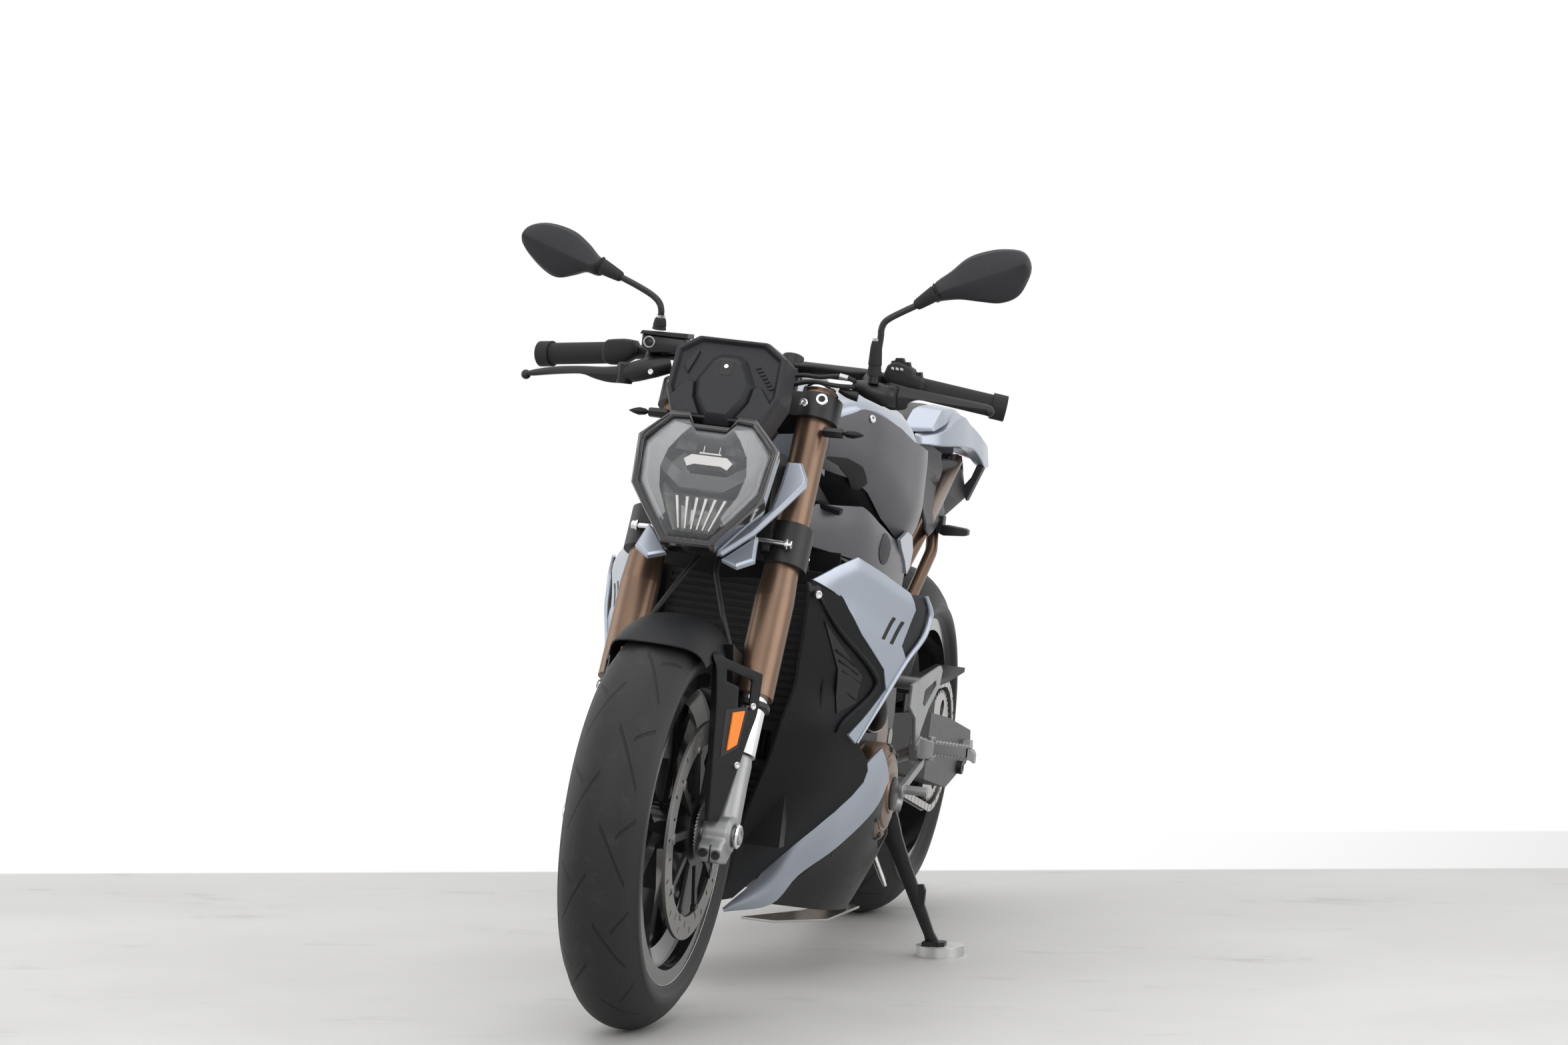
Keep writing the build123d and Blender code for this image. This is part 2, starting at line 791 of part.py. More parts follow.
with BuildPart() as headlight_insert:
    with BuildSketch(facing(bowl_floor)):
        Polygon(*mirrored([(62, band_high), (66, band_low), (40, band_low - 6)]))
        for rib in (-0.9, -0.55, -0.2, 0.2, 0.55, 0.9):
            Polygon((48 * rib - fin_half_thickness, band_low), (48 * rib + fin_half_thickness, band_low),
                    (24 * rib + fin_half_thickness, -52), (24 * rib - fin_half_thickness, -52))
        for divider in (-1, 1):
            Polygon((divider * 8 - fin_half_thickness, band_high), (divider * 8 + fin_half_thickness, band_high),
                    (divider * 12 + fin_half_thickness, 62), (divider * 12 - fin_half_thickness, 62))
    extrude(amount=insert_reach)
    with BuildSketch(facing(bowl_floor)):
        with Locations((projector_x, projector_up), (-projector_x, projector_up)):
            Circle(projector_radius - 4)
    extrude(amount=insert_reach / 2)
    add(headlight_shell.part, mode=Mode.SUBTRACT)
finish("headlight_insert", headlight_insert)

fin_tilt = radians(22)
fin_forward = 160
fin_foot = -94
fin_thickness = 8
fin_tip_thickness = 10
blade_outline = [(28, 17), (44, 18), (78, 66), (131, 177), (112, 224), (88, 222), (89, 118)]
tip_outline = [(42, 16), (68, 4), (92, 21), (84, 70), (72, 58)]
fin_normal = steering_direction * sin(fin_tilt) + steering_forward * cos(fin_tilt)
fin_origin = facing(fin_forward).from_local_coords((0, fin_foot, 0))
fin_plane = Plane(origin=fin_origin, x_dir=(1, 0, 0), z_dir=fin_normal)

with BuildPart() as headlight_fins:
    for side in (1, -1):
        add(slab(fin_plane, [(side * x, up) for x, up in blade_outline], -fin_thickness))
        add(slab(fin_plane.offset(-fin_thickness), [(side * x, up) for x, up in tip_outline],
                 -fin_tip_thickness))
    add(headlight_shell.part, mode=Mode.SUBTRACT)
finish("headlight_fins", headlight_fins)

cover_depth = 75
cover_front_half = [(56, 240), (88, 216), (88, 158), (58, 124)]
cover_rear_half = [(56, 262), (86, 236), (90, 168), (66, 122)]
badge_free_half = [(22, 208), (40, 176), (24, 130)]
panel_height = 5
panel_recess = 3
cover_stay_half = [(30, 222), (30, 200)]
cover_stay_length = 70

with BuildPart() as display:
    add(lofted([
        (facing(face_forward - cover_depth), mirrored(cover_rear_half)),
        (facing(face_forward - 8), mirrored(cover_front_half)),
        (facing(face_forward), mirrored([(50, 234), (80, 212), (80, 162), (54, 132)])),
    ], ruled=True))
    with BuildSketch(facing(face_forward)):
        Polygon(*mirrored([(44, 228), (72, 208), (72, 166), (48, 138)]))
    extrude(amount=-panel_recess, mode=Mode.SUBTRACT)
    add(slab(facing(face_forward - panel_recess), mirrored(badge_free_half), panel_recess + panel_height))
    add(slab(facing(face_forward - cover_depth), mirrored(cover_stay_half), -cover_stay_length))
    add(yokes.part, mode=Mode.SUBTRACT)
finish("display", display)

# ================================================================ front turn signals
with BuildPart() as front_turn_signals:
    ring_height = upper_yoke_height - 18
    for side in (1, -1):
        with BuildSketch(yoke_plane(ring_height)):
            with Locations((side * leg_spacing_half, -fork_offset)):
                Circle(fork_tube_radius + 5)
                Circle(fork_tube_radius, mode=Mode.SUBTRACT)
        extrude(amount=14)
        hub_point = yoke_plane(ring_height + 7).from_local_coords((side * (leg_spacing_half + 26), -fork_offset - 18, 0))
        tip_point = hub_point + Vector(side * 60, -6, -2)
        add(rod(hub_point, hub_point + Vector(side * 16, -3, 0), 6))
        add(lofted([
            (Plane(origin=hub_point + Vector(side * 12, -2, 0), x_dir=(0, 1, 0), z_dir=(side, 0, 0)),
             [(-9, -8), (9, -8), (9, 8), (-9, 8)]),
            (Plane(origin=hub_point + Vector(side * 34, -4, 0), x_dir=(0, 1, 0), z_dir=(side, 0, 0)),
             [(-15, -17), (13, -17), (13, 17), (-15, 17)]),
            (Plane(origin=tip_point, x_dir=(0, 1, 0), z_dir=(side, 0, 0)),
             [(-4, -4), (4, -4), (4, 4), (-4, 4)]),
        ]))
finish("front_turn_signals", front_turn_signals)

# ================================================================ front mudguard
guard_gap = 6.5
guard_wall = 3
guard_front = 29
guard_rear = 58
crown_top = front_centre.Z + front_tyre_radius + guard_gap + guard_wall
guard_half_section = [(24, 0), (50, -13), (68, -36), (74, -58)]
ear_sections = [(crown_top - 62, [(70, -742), (118, -652), (108, -640), (68, -700)]),
                (crown_top - 120, [(75, -752), (120, -676), (110, -664), (74, -730)]),
                (400, [(84, -762), (114, -716), (108, -704), (79, -748)]),
                (326, [(90, -764), (103, -746), (97, -738), (84, -754)])]
ear_slot = [(-727, crown_top - 63), (-667, crown_top - 81), (-661, crown_top - 109), (-685, crown_top - 113)]
reflector_low = 420
reflector_high = 482
reflector_plan = [(90.5, -733), (105, -709), (109.5, -712), (95, -736)]
brace_inner = 73
brace_outline = [(-660, crown_top - 50), (-600, crown_top - 50), (-600, crown_top - 110),
                 (-650, crown_top - 120)]

with BuildPart() as front_fender:
    inner = front_tyre_radius + guard_gap
    outer = inner + guard_wall
    with BuildSketch(section_plane(front_centre)):
        Polygon(*mirrored([*[(x, outer + drop) for x, drop in guard_half_section],
                           *[(x - guard_wall, inner + drop) for x, drop in reversed(guard_half_section)]]))
    revolve(axis=Axis(front_centre, (1, 0, 0)))
    with BuildSketch(wheel_plane(front_centre)):
        reach = 2 * outer
        Polygon((0, 0), (-reach * sin(radians(guard_front)), reach * cos(radians(guard_front))),
                (0, reach), (reach * sin(radians(guard_rear)), reach * cos(radians(guard_rear))))
    extrude(amount=outer, both=True, mode=Mode.INTERSECT)
    for side in (1, -1):
        add(lofted([(above(up), [(side * x, y) for x, y in points]) for up, points in ear_sections],
                   ruled=True))
        add(slab(beside(side * brace_inner), brace_outline, side * (leg_spacing_half - brace_inner)))
    add(slab(beside(0), ear_slot, outer, both=True), mode=Mode.SUBTRACT)
    for legs in (fork_tubes, fork_sliders, fork_feet):
        add(legs.part, mode=Mode.SUBTRACT)
finish("front_fender", front_fender)

with BuildPart() as front_reflectors:
    for side in (1, -1):
        add(slab(above(reflector_low), [(side * x, y) for x, y in reflector_plan],
                 reflector_high - reflector_low))
    add(front_fender.part, mode=Mode.SUBTRACT)
finish("front_reflectors", front_reflectors)

# ================================================================ brake hoses
hose_radius = 4
hose_bend_radius = 18

with BuildPart() as brake_hoses:
    for side in (1, -1):
        add(bent_tube([(side * 14, -575, 690), (side * 22, -612, 668), (side * 50, -650, 610),
                       (side * 72, -662, 560)], hose_bend_radius, hose_radius))
    add(yokes.part, mode=Mode.SUBTRACT)
    add(front_fender.part, mode=Mode.SUBTRACT)
finish("brake_hoses", brake_hoses)

# ================================================================ main frame and subframe
plate_inner = 122
plate_width = 24
spar_outer = 92
spar_inner = 54

with BuildPart() as main_frame:
    head_bottom = lower_yoke_top + head_tube_gap
    with BuildSketch(yoke_plane(head_bottom)):
        Circle(head_tube_radius)
    extrude(amount=head_tube_length)
    add(slab(beside(0), [(-470, 745), (-446, 850), (-400, 848), (-300, 800), (-300, 720)], spar_inner, both=True))
    for side in (1, -1):
        add(slab(beside(side * spar_inner), [(-398, 800), (-390, 830), (-150, 745), (60, 700), (60, 655),
                                             (-150, 690), (-370, 712)], side * (spar_outer - spar_inner)))
        add(lofted([
            (across(60), [(side * spar_inner, 655), (side * spar_outer, 655), (side * spar_outer, 700), (side * spar_inner, 700)]),
            (across(100), [(side * plate_inner, 560), (side * (plate_inner + plate_width), 560),
                           (side * (plate_inner + plate_width), 640), (side * plate_inner, 640)]),
        ]))
        add(slab(beside(side * plate_inner), [(96, 640), (150, 620), (185, 420), (170, 330), (140, 280), (96, 280)],
                 side * plate_width))
    with BuildSketch(beside(0)):
        with Locations((130, 590), (118, 292)):
            Circle(14)
    extrude(amount=plate_inner + 1, both=True)
    add(rod((-plate_inner - plate_width - 1, pivot_y, pivot_height),
            (plate_inner + plate_width + 1, pivot_y, pivot_height), pivot_bolt_radius), mode=Mode.SUBTRACT)
    add(rod(yoke_plane(0).origin, yoke_plane(800).origin, stem_radius + running_clearance),
        mode=Mode.SUBTRACT)
finish("main_frame", main_frame)

subframe_radius = 13

with BuildPart() as subframe:
    for side in (1, -1):
        add(bent_tube([(side * 134, 148, 660), (side * 150, 240, 745), (side * 96, 690, 838)], 60,
                      subframe_radius))
        add(bent_tube([(side * 134, 172, 560), (side * 146, 330, 690), (side * 128, 400, 762)], 60,
                      subframe_radius * 0.8))
    add(rod((-110, 560, 811), (110, 560, 811), subframe_radius * 0.8))
    add(main_frame.part, mode=Mode.SUBTRACT)
finish("subframe", subframe)

# ================================================================ engine and exhaust
crank_half = 165
crankcase = [(-245, 225), (-275, 290), (-262, 425), (-95, 455), (-20, 455), (-20, 225)]
gearbox = [(-20, 455), (60, 440), (88, 400), (88, 290), (60, 235), (-20, 225)]
cylinders = [(-250, 425), (-292, 610), (-130, 640), (-95, 455)]
cam_cover = [(-292, 610), (-296, 640), (-262, 668), (-160, 668), (-128, 640), (-130, 640), (-130, 640)]

with BuildPart() as engine:
    add(slab(beside(0), crankcase, crank_half, both=True))
    add(slab(beside(-crank_half + 15), gearbox, crank_half - 15 + 88))
    add(slab(beside(0), cylinders, 182, both=True))
    add(slab(beside(0), cam_cover[:5], 168, both=True))
    for row in range(4):
        up = 470 + 30 * row
        back = 46 * (up - 425) / 185
        add(slab(beside(0), [(-262 - back, up), (-262 - back, up + 8), (-96 - back * 0.8, up + 8),
                             (-96 - back * 0.8, up)], 188, both=True))
finish("engine", engine)

cover_y = -112
cover_height = 322
alternator_radius = 74
alternator_boss_radius = 30
clutch_radius = 90

with BuildPart() as engine_covers:
    with BuildSketch(Plane(origin=(crank_half, cover_y, cover_height), x_dir=(0, 1, 0), z_dir=(1, 0, 0))):
        Circle(alternator_radius)
    extrude(amount=48, taper=14)
    with BuildSketch(Plane(origin=(crank_half, cover_y, cover_height), x_dir=(0, 1, 0), z_dir=(1, 0, 0))):
        Circle(alternator_boss_radius)
    extrude(amount=54)
    with BuildSketch(Plane(origin=(-crank_half, cover_y + 40, cover_height + 14), x_dir=(0, -1, 0), z_dir=(-1, 0, 0))):
        Circle(clutch_radius)
    extrude(amount=46, taper=14)
    add(slab(beside(128), [(-18, 330), (-18, 448), (60, 448), (92, 400), (92, 330)], 30))
    add(rod((88, -8, 340), (128, -8, 340), 7))
    add(engine.part, mode=Mode.SUBTRACT)
finish("engine_covers", engine_covers)

pipe_radius = 19
pipe_rows = [132, 50, -50, -132]

with BuildPart() as exhaust:
    for row, port in enumerate(pipe_rows):
        add(bent_tube([(port, -282, 560), (port * 0.9, -322, 545), (port * 0.66, -312, 300),
                       (port * 0.5, -240, 175), (port * 0.42, -60, 158)], 34, pipe_radius))
    add(slab(beside(0), [(-90, 135), (-90, 195), (-30, 205), (110, 205), (130, 190), (130, 135)], 82, both=True))
    add(bent_tube([(-50, 110, 165), (-110, 190, 170), (-190, 230, 205), (-222, 300, 236)], 40, 26))
    add(lofted([
        (across(292), [(-262, 200), (-186, 190), (-180, 262), (-206, 292), (-258, 280)]),
        (across(520), [(-282, 262), (-200, 250), (-194, 348), (-222, 376), (-278, 362)]),
    ]))
    add(engine.part, mode=Mode.SUBTRACT)
finish("exhaust", exhaust)

# ================================================================ radiator, cowls, shrouds and belly pan
radiator_y = -374
radiator_bottom = 424
radiator_height = 250
radiator_half = 152
radiator_thickness = 30
cooler_bottom = 246
cooler_height = 130
cooler_half = 112
slat_pitch = 12
slat_groove = 5
slat_depth = 4
cowl_thickness = 6


def cooler(bottom, height, half):
    """An upright core with a row of grooves between its slats, facing forward."""
    face = radiator_y - radiator_thickness / 2
    with BuildPart() as core:
        add(slab(across(radiator_y), [(-half, bottom), (half, bottom), (half, bottom + height),
                                      (-half, bottom + height)], radiator_thickness / 2, both=True))
        with BuildSketch(across(face)):
            with Locations((0, bottom + height / 2)):
                with GridLocations(0, slat_pitch, 1, int(height / slat_pitch) - 1):
                    Rectangle(2 * half - 3 * radiator_thickness, slat_groove)
        extrude(amount=-slat_depth, mode=Mode.SUBTRACT)
    return core.part


cowl_edges = [(664, (127, -438), (146, -404)),
              (560, (122, -430), (186, -354)),
              (432, (110, -416), (190, -344)),
              (386, (100, -408), (196, -262)),
              (300, (72, -390), (146, -282)),
              (200, (36, -368), (68, -322)),
              (146, (16, -354), (28, -338))]

with BuildPart() as radiator_cowls:
    for side in (1, -1):
        add(lofted([(above(up), [(side * front[0], front[1]), (side * back[0], back[1]),
                                 (side * (back[0] - cowl_thickness), back[1] + cowl_thickness),
                                 (side * (front[0] - cowl_thickness), front[1] + cowl_thickness)])
                    for up, front, back in cowl_edges], ruled=True))
    add(engine.part, mode=Mode.SUBTRACT)
    add(exhaust.part, mode=Mode.SUBTRACT)
finish("radiator_cowls", radiator_cowls)

with BuildPart() as radiator:
    add(cooler(radiator_bottom, radiator_height, radiator_half))
    add(cooler(cooler_bottom, cooler_height, cooler_half))
    for side in (1, -1):
        add(slab(across(radiator_y), [(side * 80, cooler_bottom + cooler_height),
                                      (side * 100, cooler_bottom + cooler_height),
                                      (side * 100, radiator_bottom), (side * 80, radiator_bottom)],
                 radiator_thickness / 2))
    add(radiator_cowls.part, mode=Mode.SUBTRACT)
finish("radiator", radiator)

shroud_plan = [(128, -441), (182, -364), (225, -280), (263, -200), (256, -140)]
shroud_wall = 7
shroud_side = [(-438, 667), (-362, 706), (-236, 652), (-152, 640), (-150, 574), (-206, 566), (-330, 414),
               (-348, 428), (-276, 500), (-286, 532), (-343, 586), (-384, 640), (-418, 656)]
shroud_slots = [[(-302, 580), (-292, 577), (-270, 612), (-280, 616)],
                [(-280, 573), (-270, 570), (-248, 606), (-258, 609)]]
shroud_low = 380
shroud_reach = 300

with BuildPart() as radiator_shrouds:
    inward = [(x - shroud_wall, y + shroud_wall / 2) for x, y in shroud_plan]
    for side in (1, -1):
        add(slab(above(shroud_low), [(side * x, y) for x, y in [*shroud_plan, *reversed(inward)]],
                 shroud_reach + shroud_low))
    add(slab(beside(0), shroud_side, shroud_reach, both=True), mode=Mode.INTERSECT)
    for slot in shroud_slots:
        add(slab(beside(0), slot, shroud_reach, both=True), mode=Mode.SUBTRACT)
    add(radiator_cowls.part, mode=Mode.SUBTRACT)
finish("radiator_shrouds", radiator_shrouds)

with BuildPart() as belly_pan:
    for side in (1, -1):
        add(lofted([
            (across(-320), [(side * 4, 128), (side * 16, 124), (side * 40, 175), (side * 34, 182)]),
            (across(-200), [(side * 60, 112), (side * 110, 118), (side * 228, 385), (side * 218, 388)]),
            (across(40), [(side * 90, 108), (side * 130, 112), (side * 196, 250), (side * 186, 252)]),
        ], ruled=True))
    add(exhaust.part, mode=Mode.SUBTRACT)
    add(engine.part, mode=Mode.SUBTRACT)
    add(engine_covers.part, mode=Mode.SUBTRACT)
    add(radiator_cowls.part, mode=Mode.SUBTRACT)
finish("belly_pan", belly_pan)

# ================================================================ tank and its covers
cap_y = -140
cap_radius = 44
cap_thickness = 8
cap_gap = 0.4
cap_seat = 958
collar_radius = 52
collar_depth = 30
lid_pin_radius = 3
lid_pin_reach = 60
lid_knuckle_radius = 5.5
lid_knuckle_half = 8
lid_lug_width = 7
lid_lug_gap = 0.5
lid_pin = Vector(0, cap_y - lid_pin_reach, cap_seat + lid_knuckle_radius + cap_gap)
lid_pin_half = lid_knuckle_half + lid_lug_gap + lid_lug_width


def level_plane(y, z):
    """Level plane centred on the motorcycle: local x to the left, local y to the rear."""
    return Plane(origin=(0, y, z), x_dir=(1, 0, 0), z_dir=(0, 0, 1))


with BuildPart() as fuel_tank:
    add(lofted([
        (across(-290), mirrored([(68, 942), (96, 915), (90, 865), (78, 832)])),
        (across(-215), mirrored([(92, 955), (140, 918), (124, 860), (100, 800)])),
        (across(-60), mirrored([(104, 942), (176, 884), (140, 820), (105, 775)])),
        (across(60), mirrored([(90, 905), (152, 862), (110, 800), (92, 755)])),
        (across(165), mirrored([(58, 852), (84, 826), (74, 792), (66, 762)])),
    ]))
    with BuildSketch(level_plane(cap_y, cap_seat - collar_depth)):
        Circle(collar_radius)
        with Locations((0, -lid_pin_reach / 2)):
            Rectangle(2 * lid_pin_half, lid_pin_reach + 2 * lid_knuckle_radius)
    extrude(amount=collar_depth)
    for side in (1, -1):
        inner_face = side * (lid_knuckle_half + lid_lug_gap)
        lug_top = lid_pin.Z + lid_knuckle_radius
        add(slab(beside(inner_face), [(lid_pin.Y - lid_knuckle_radius, cap_seat - 1),
                                      (lid_pin.Y - lid_knuckle_radius, lug_top),
                                      (lid_pin.Y + lid_knuckle_radius, lug_top),
                                      (lid_pin.Y + lid_knuckle_radius, cap_seat - 1)], side * lid_lug_width))
    add(rod(lid_pin - Vector(lid_pin_half, 0, 0), lid_pin + Vector(lid_pin_half, 0, 0), lid_pin_radius))
    add(main_frame.part, mode=Mode.SUBTRACT)
finish("fuel_tank", fuel_tank)

with BuildPart() as fuel_cap:
    with BuildSketch(level_plane(cap_y, cap_seat + cap_gap)):
        Circle(cap_radius)
        with Locations((0, -lid_pin_reach / 2)):
            Rectangle(2 * lid_knuckle_half, lid_pin_reach)
    extrude(amount=cap_thickness)
    add(rod(lid_pin - Vector(lid_knuckle_half, 0, 0), lid_pin + Vector(lid_knuckle_half, 0, 0),
            lid_knuckle_radius))
    add(rod(lid_pin - Vector(lid_knuckle_half, 0, 0), lid_pin + Vector(lid_knuckle_half, 0, 0),
            lid_pin_radius + running_clearance), mode=Mode.SUBTRACT)
finish("fuel_cap", fuel_cap)

with BuildPart() as tank_covers:
    for side in (1, -1):
        add(lofted([
            (across(-284), [(side * 84, 922), (side * 112, 926), (side * 108, 812), (side * 86, 800)]),
            (across(-225), [(side * 112, 900), (side * 150, 906), (side * 152, 785), (side * 108, 765)]),
            (across(-120), [(side * 120, 880), (side * 184, 884), (side * 192, 762), (side * 130, 735)]),
            (across(60), [(side * 110, 862), (side * 166, 868), (side * 180, 716), (side * 120, 700)]),
            (across(150), [(side * 70, 800), (side * 98, 806), (side * 120, 742), (side * 80, 730)]),
        ]))
    add(fuel_tank.part, mode=Mode.SUBTRACT)
    add(main_frame.part, mode=Mode.SUBTRACT)
    add(subframe.part, mode=Mode.SUBTRACT)
finish("tank_covers", tank_covers)

# ================================================================ side covers, seats and tail
with BuildPart() as side_covers:
    for side in (1, -1):
        add(lofted([
            (across(-350), [(side * 84, 752), (side * 92, 772), (side * 104, 722), (side * 96, 712)]),
            (across(-250), [(side * 112, 765), (side * 156, 786), (side * 168, 700), (side * 116, 696)]),
            (across(-30), [(side * 112, 712), (side * 172, 736), (side * 180, 640), (side * 116, 640)]),
        ]))
    add(main_frame.part, mode=Mode.SUBTRACT)
    add(tank_covers.part, mode=Mode.SUBTRACT)
    add(fuel_tank.part, mode=Mode.SUBTRACT)
    add(radiator_shrouds.part, mode=Mode.SUBTRACT)
    add(engine.part, mode=Mode.SUBTRACT)
finish("side_covers", side_covers)

with BuildPart() as rider_seat:
    add(lofted([
        (across(172), mirrored([(52, 848), (70, 832), (64, 790)])),
        (across(300), mirrored([(92, 834), (118, 812), (116, 770)])),
        (across(440), mirrored([(104, 846), (138, 824), (120, 790)])),
        (across(486), mirrored([(96, 886), (124, 870), (108, 800)])),
    ]))
    add(subframe.part, mode=Mode.SUBTRACT)
    add(fuel_tank.part, mode=Mode.SUBTRACT)
    add(tank_covers.part, mode=Mode.SUBTRACT)
finish("rider_seat", rider_seat)

with BuildPart() as pillion_seat:
    add(lofted([
        (across(490), mirrored([(84, 902), (104, 890), (96, 858)])),
        (across(600), mirrored([(78, 926), (98, 914), (90, 878)])),
        (across(700), mirrored([(58, 934), (72, 924), (66, 892)])),
    ]))
finish("pillion_seat", pillion_seat)

grab_inner = 70
grab_opening = [(560, 852), (730, 884), (752, 860), (700, 846)]

with BuildPart() as tail_plates:
    for side in (1, -1):
        add(lofted([
            (across(500), [(side * 108, 880), (side * 122, 868), (side * 126, 800), (side * 112, 800)]),
            (across(600), [(side * 102, 930), (side * 116, 926), (side * 132, 826), (side * 108, 826)]),
            (across(720), [(side * 84, 932), (side * 110, 930), (side * 126, 836), (side * 92, 836)]),
            (across(850), [(side * 40, 906), (side * 54, 902), (side * 62, 850), (side * 44, 850)]),
        ]))
    add(lofted([
        (across(712), mirrored([(90, 925), (98, 842)])),
        (across(850), mirrored([(44, 902), (50, 852)])),
    ]))
    for side in (1, -1):
        add(slab(beside(side * grab_inner), grab_opening, side * grab_inner), mode=Mode.SUBTRACT)
    add(pillion_seat.part, mode=Mode.SUBTRACT)
    add(rider_seat.part, mode=Mode.SUBTRACT)
    add(subframe.part, mode=Mode.SUBTRACT)
finish("tail_plates", tail_plates)

tail_end = 820

with BuildPart() as under_tail:
    add(lofted([
        (across(490), mirrored([(84, 872), (92, 826)])),
        (across(700), mirrored([(64, 900), (80, 826)])),
    ]))
    add(lofted([
        (across(480), mirrored([(100, 838), (92, 800), (60, 782)])),
        (across(600), mirrored([(112, 834), (104, 780), (66, 742)])),
        (across(700), mirrored([(118, 838), (104, 770), (76, 722)])),
        (across(tail_end), mirrored([(84, 848), (74, 806), (52, 786)])),
    ], ruled=True))
    add(subframe.part, mode=Mode.SUBTRACT)
    add(tail_plates.part, mode=Mode.SUBTRACT)
    add(pillion_seat.part, mode=Mode.SUBTRACT)
    add(rider_seat.part, mode=Mode.SUBTRACT)
finish("under_tail", under_tail)

with BuildPart() as tail_light:
    add(lofted([
        (across(850.5), mirrored([(42, 900), (48, 856)])),
        (across(872), mirrored([(30, 892), (34, 866)])),
    ]))
    for side in (1, -1):
        add(lofted([
            (across(tail_end), [(side * 30, 826), (side * 62, 828), (side * 60, 842), (side * 32, 842)]),
            (across(tail_end + 22), [(side * 34, 830), (side * 54, 831), (side * 53, 840), (side * 35, 840)]),
        ]))
finish("tail_light", tail_light)

# ================================================================ swingarm, shock and final drive
stand_boss_y = rear_centre.Y - 25
stand_boss_height = rear_centre.Z - 31
stand_boss_radius = 12
stand_boss_length = 8
stand_hole_radius = 4.25
stand_hole_depth = 12

arm_reach = 200
bridge_half = 96
bridge_gap = 20
bridge_rear = rear_centre.Y - rear_tyre_radius - bridge_gap

with BuildPart() as swingarm:
    with BuildSketch(beside(0)):
        with Locations((pivot_y, pivot_height)):
            Circle(pivot_tube_radius)
    extrude(amount=pivot_tube_half, both=True)
    add(slab(beside(0), [*beyond(pivot_place, [(15, -40), (15, 30)]), (bridge_rear, pivot_height + 10),
                         (bridge_rear, pivot_height - 60)], bridge_half, both=True))
    add(rod((-arm_reach, pivot_y, pivot_height), (arm_reach, pivot_y, pivot_height), pivot_bolt_radius),
        mode=Mode.SUBTRACT)
finish("swingarm", swingarm)


def plan_block(points):
    """A tall block with the given plan, for cutting to a side outline."""
    return slab(above(180), points, 300)


with BuildPart() as swingarm_arms:
    for side in (1, -1):
        add(plan_block([(side * 60, pivot_y + 15), (side * 98, pivot_y + 15),
                        (side * (arm_inner + arm_width), bridge_rear + 15),
                        (side * (arm_inner + arm_width), rear_centre.Y + 75), (side * arm_inner, rear_centre.Y + 75),
                        (side * arm_inner, bridge_rear + 35), (side * 80, bridge_rear - 55),
                        (side * 60, bridge_rear - 55)]))
    add(slab(beside(0), [*beyond(pivot_place, [(5, -40), (5, 30)]), (bridge_rear - 5, pivot_height + 27),
                         *beyond(rear_place, [(-165, 69), (50, 31), (65, 0), (45, -29), (-125, -59)]),
                         (bridge_rear + 35, pivot_height - 95), (bridge_rear - 85, pivot_height - 75)],
             arm_reach, both=True),
        mode=Mode.INTERSECT)
    add(swingarm.part, mode=Mode.SUBTRACT)
    add(rod((-arm_reach, rear_centre.Y, rear_centre.Z), (arm_reach, rear_centre.Y, rear_centre.Z), axle_radius),
        mode=Mode.SUBTRACT)
    for side in (1, -1):
        end_x = side * (arm_inner + arm_width)
        add(rod((end_x, stand_boss_y, stand_boss_height), (end_x + side * stand_boss_length, stand_boss_y, stand_boss_height),
                stand_boss_radius))
        add(rod((end_x + side * stand_boss_length, stand_boss_y, stand_boss_height),
                (end_x - side * stand_hole_depth, stand_boss_y, stand_boss_height), stand_hole_radius),
            mode=Mode.SUBTRACT)
finish("swingarm_arms", swingarm_arms)

with BuildPart() as pivot_bolt:
    add(rod((-plate_inner - plate_width, pivot_y, pivot_height), (plate_inner + plate_width, pivot_y, pivot_height), pivot_bolt_radius))
    for side in (1, -1):
        add(rod((side * (plate_inner + plate_width), pivot_y, pivot_height),
                (side * (plate_inner + plate_width + 8), pivot_y, pivot_height), 15))
finish("pivot_bolt", pivot_bolt)

with BuildPart() as rear_axle:
    add(rod((-rear_axle_half, rear_centre.Y, rear_centre.Z), (rear_axle_half, rear_centre.Y, rear_centre.Z), axle_radius))
    for side in (1, -1):
        with BuildSketch(wheel_plane(rear_centre, side * (arm_inner + arm_width))):
            RegularPolygon(axle_nut_radius, 6)
        extrude(amount=side * axle_nut_length)
finish("rear_axle", rear_axle)

shock_foot = (0, 242, 396)

with BuildPart() as rear_shock:
    add(rod(shock_foot, (0, 215, 640), 14))
    for coil in range(7):
        share = 0.18 + coil * 0.1
        centre = Vector(0, 240, 416) + (Vector(0, 215, 640) - Vector(0, 240, 416)) * share
        with BuildSketch(Plane(origin=centre, z_dir=(0, -25, 224))):
            Circle(32)
        extrude(amount=11)
    add(rod((0, 215, 640), (0, 190, 676), 12))
    add(slab(above(660), [(-60, 178), (60, 178), (60, 202), (-60, 202)], 16))
    add(swingarm.part, mode=Mode.SUBTRACT)
    add(main_frame.part, mode=Mode.SUBTRACT)
finish("rear_shock", rear_shock)

chain_roller_radius = 5
chain_core_half = 6
link_plate_width = 1.8
link_plate_height = 13
link_gap = 4


def chain_loop(grow):
    """A closed outline round both sprockets, grown outward from the pitch line by a distance."""
    with BuildSketch(beside(chain_line)) as loop:
        with Locations((front_sprocket_y, front_sprocket_height)):
            Circle(front_sprocket_radius + grow)
        with Locations((rear_centre.Y, rear_centre.Z)):
            Circle(rear_sprocket_radius + grow)
        make_hull()
    return loop.sketch


pitch_line = chain_loop(0).wire()
link_pairs = round(pitch_line.length / (2 * chain_pitch))

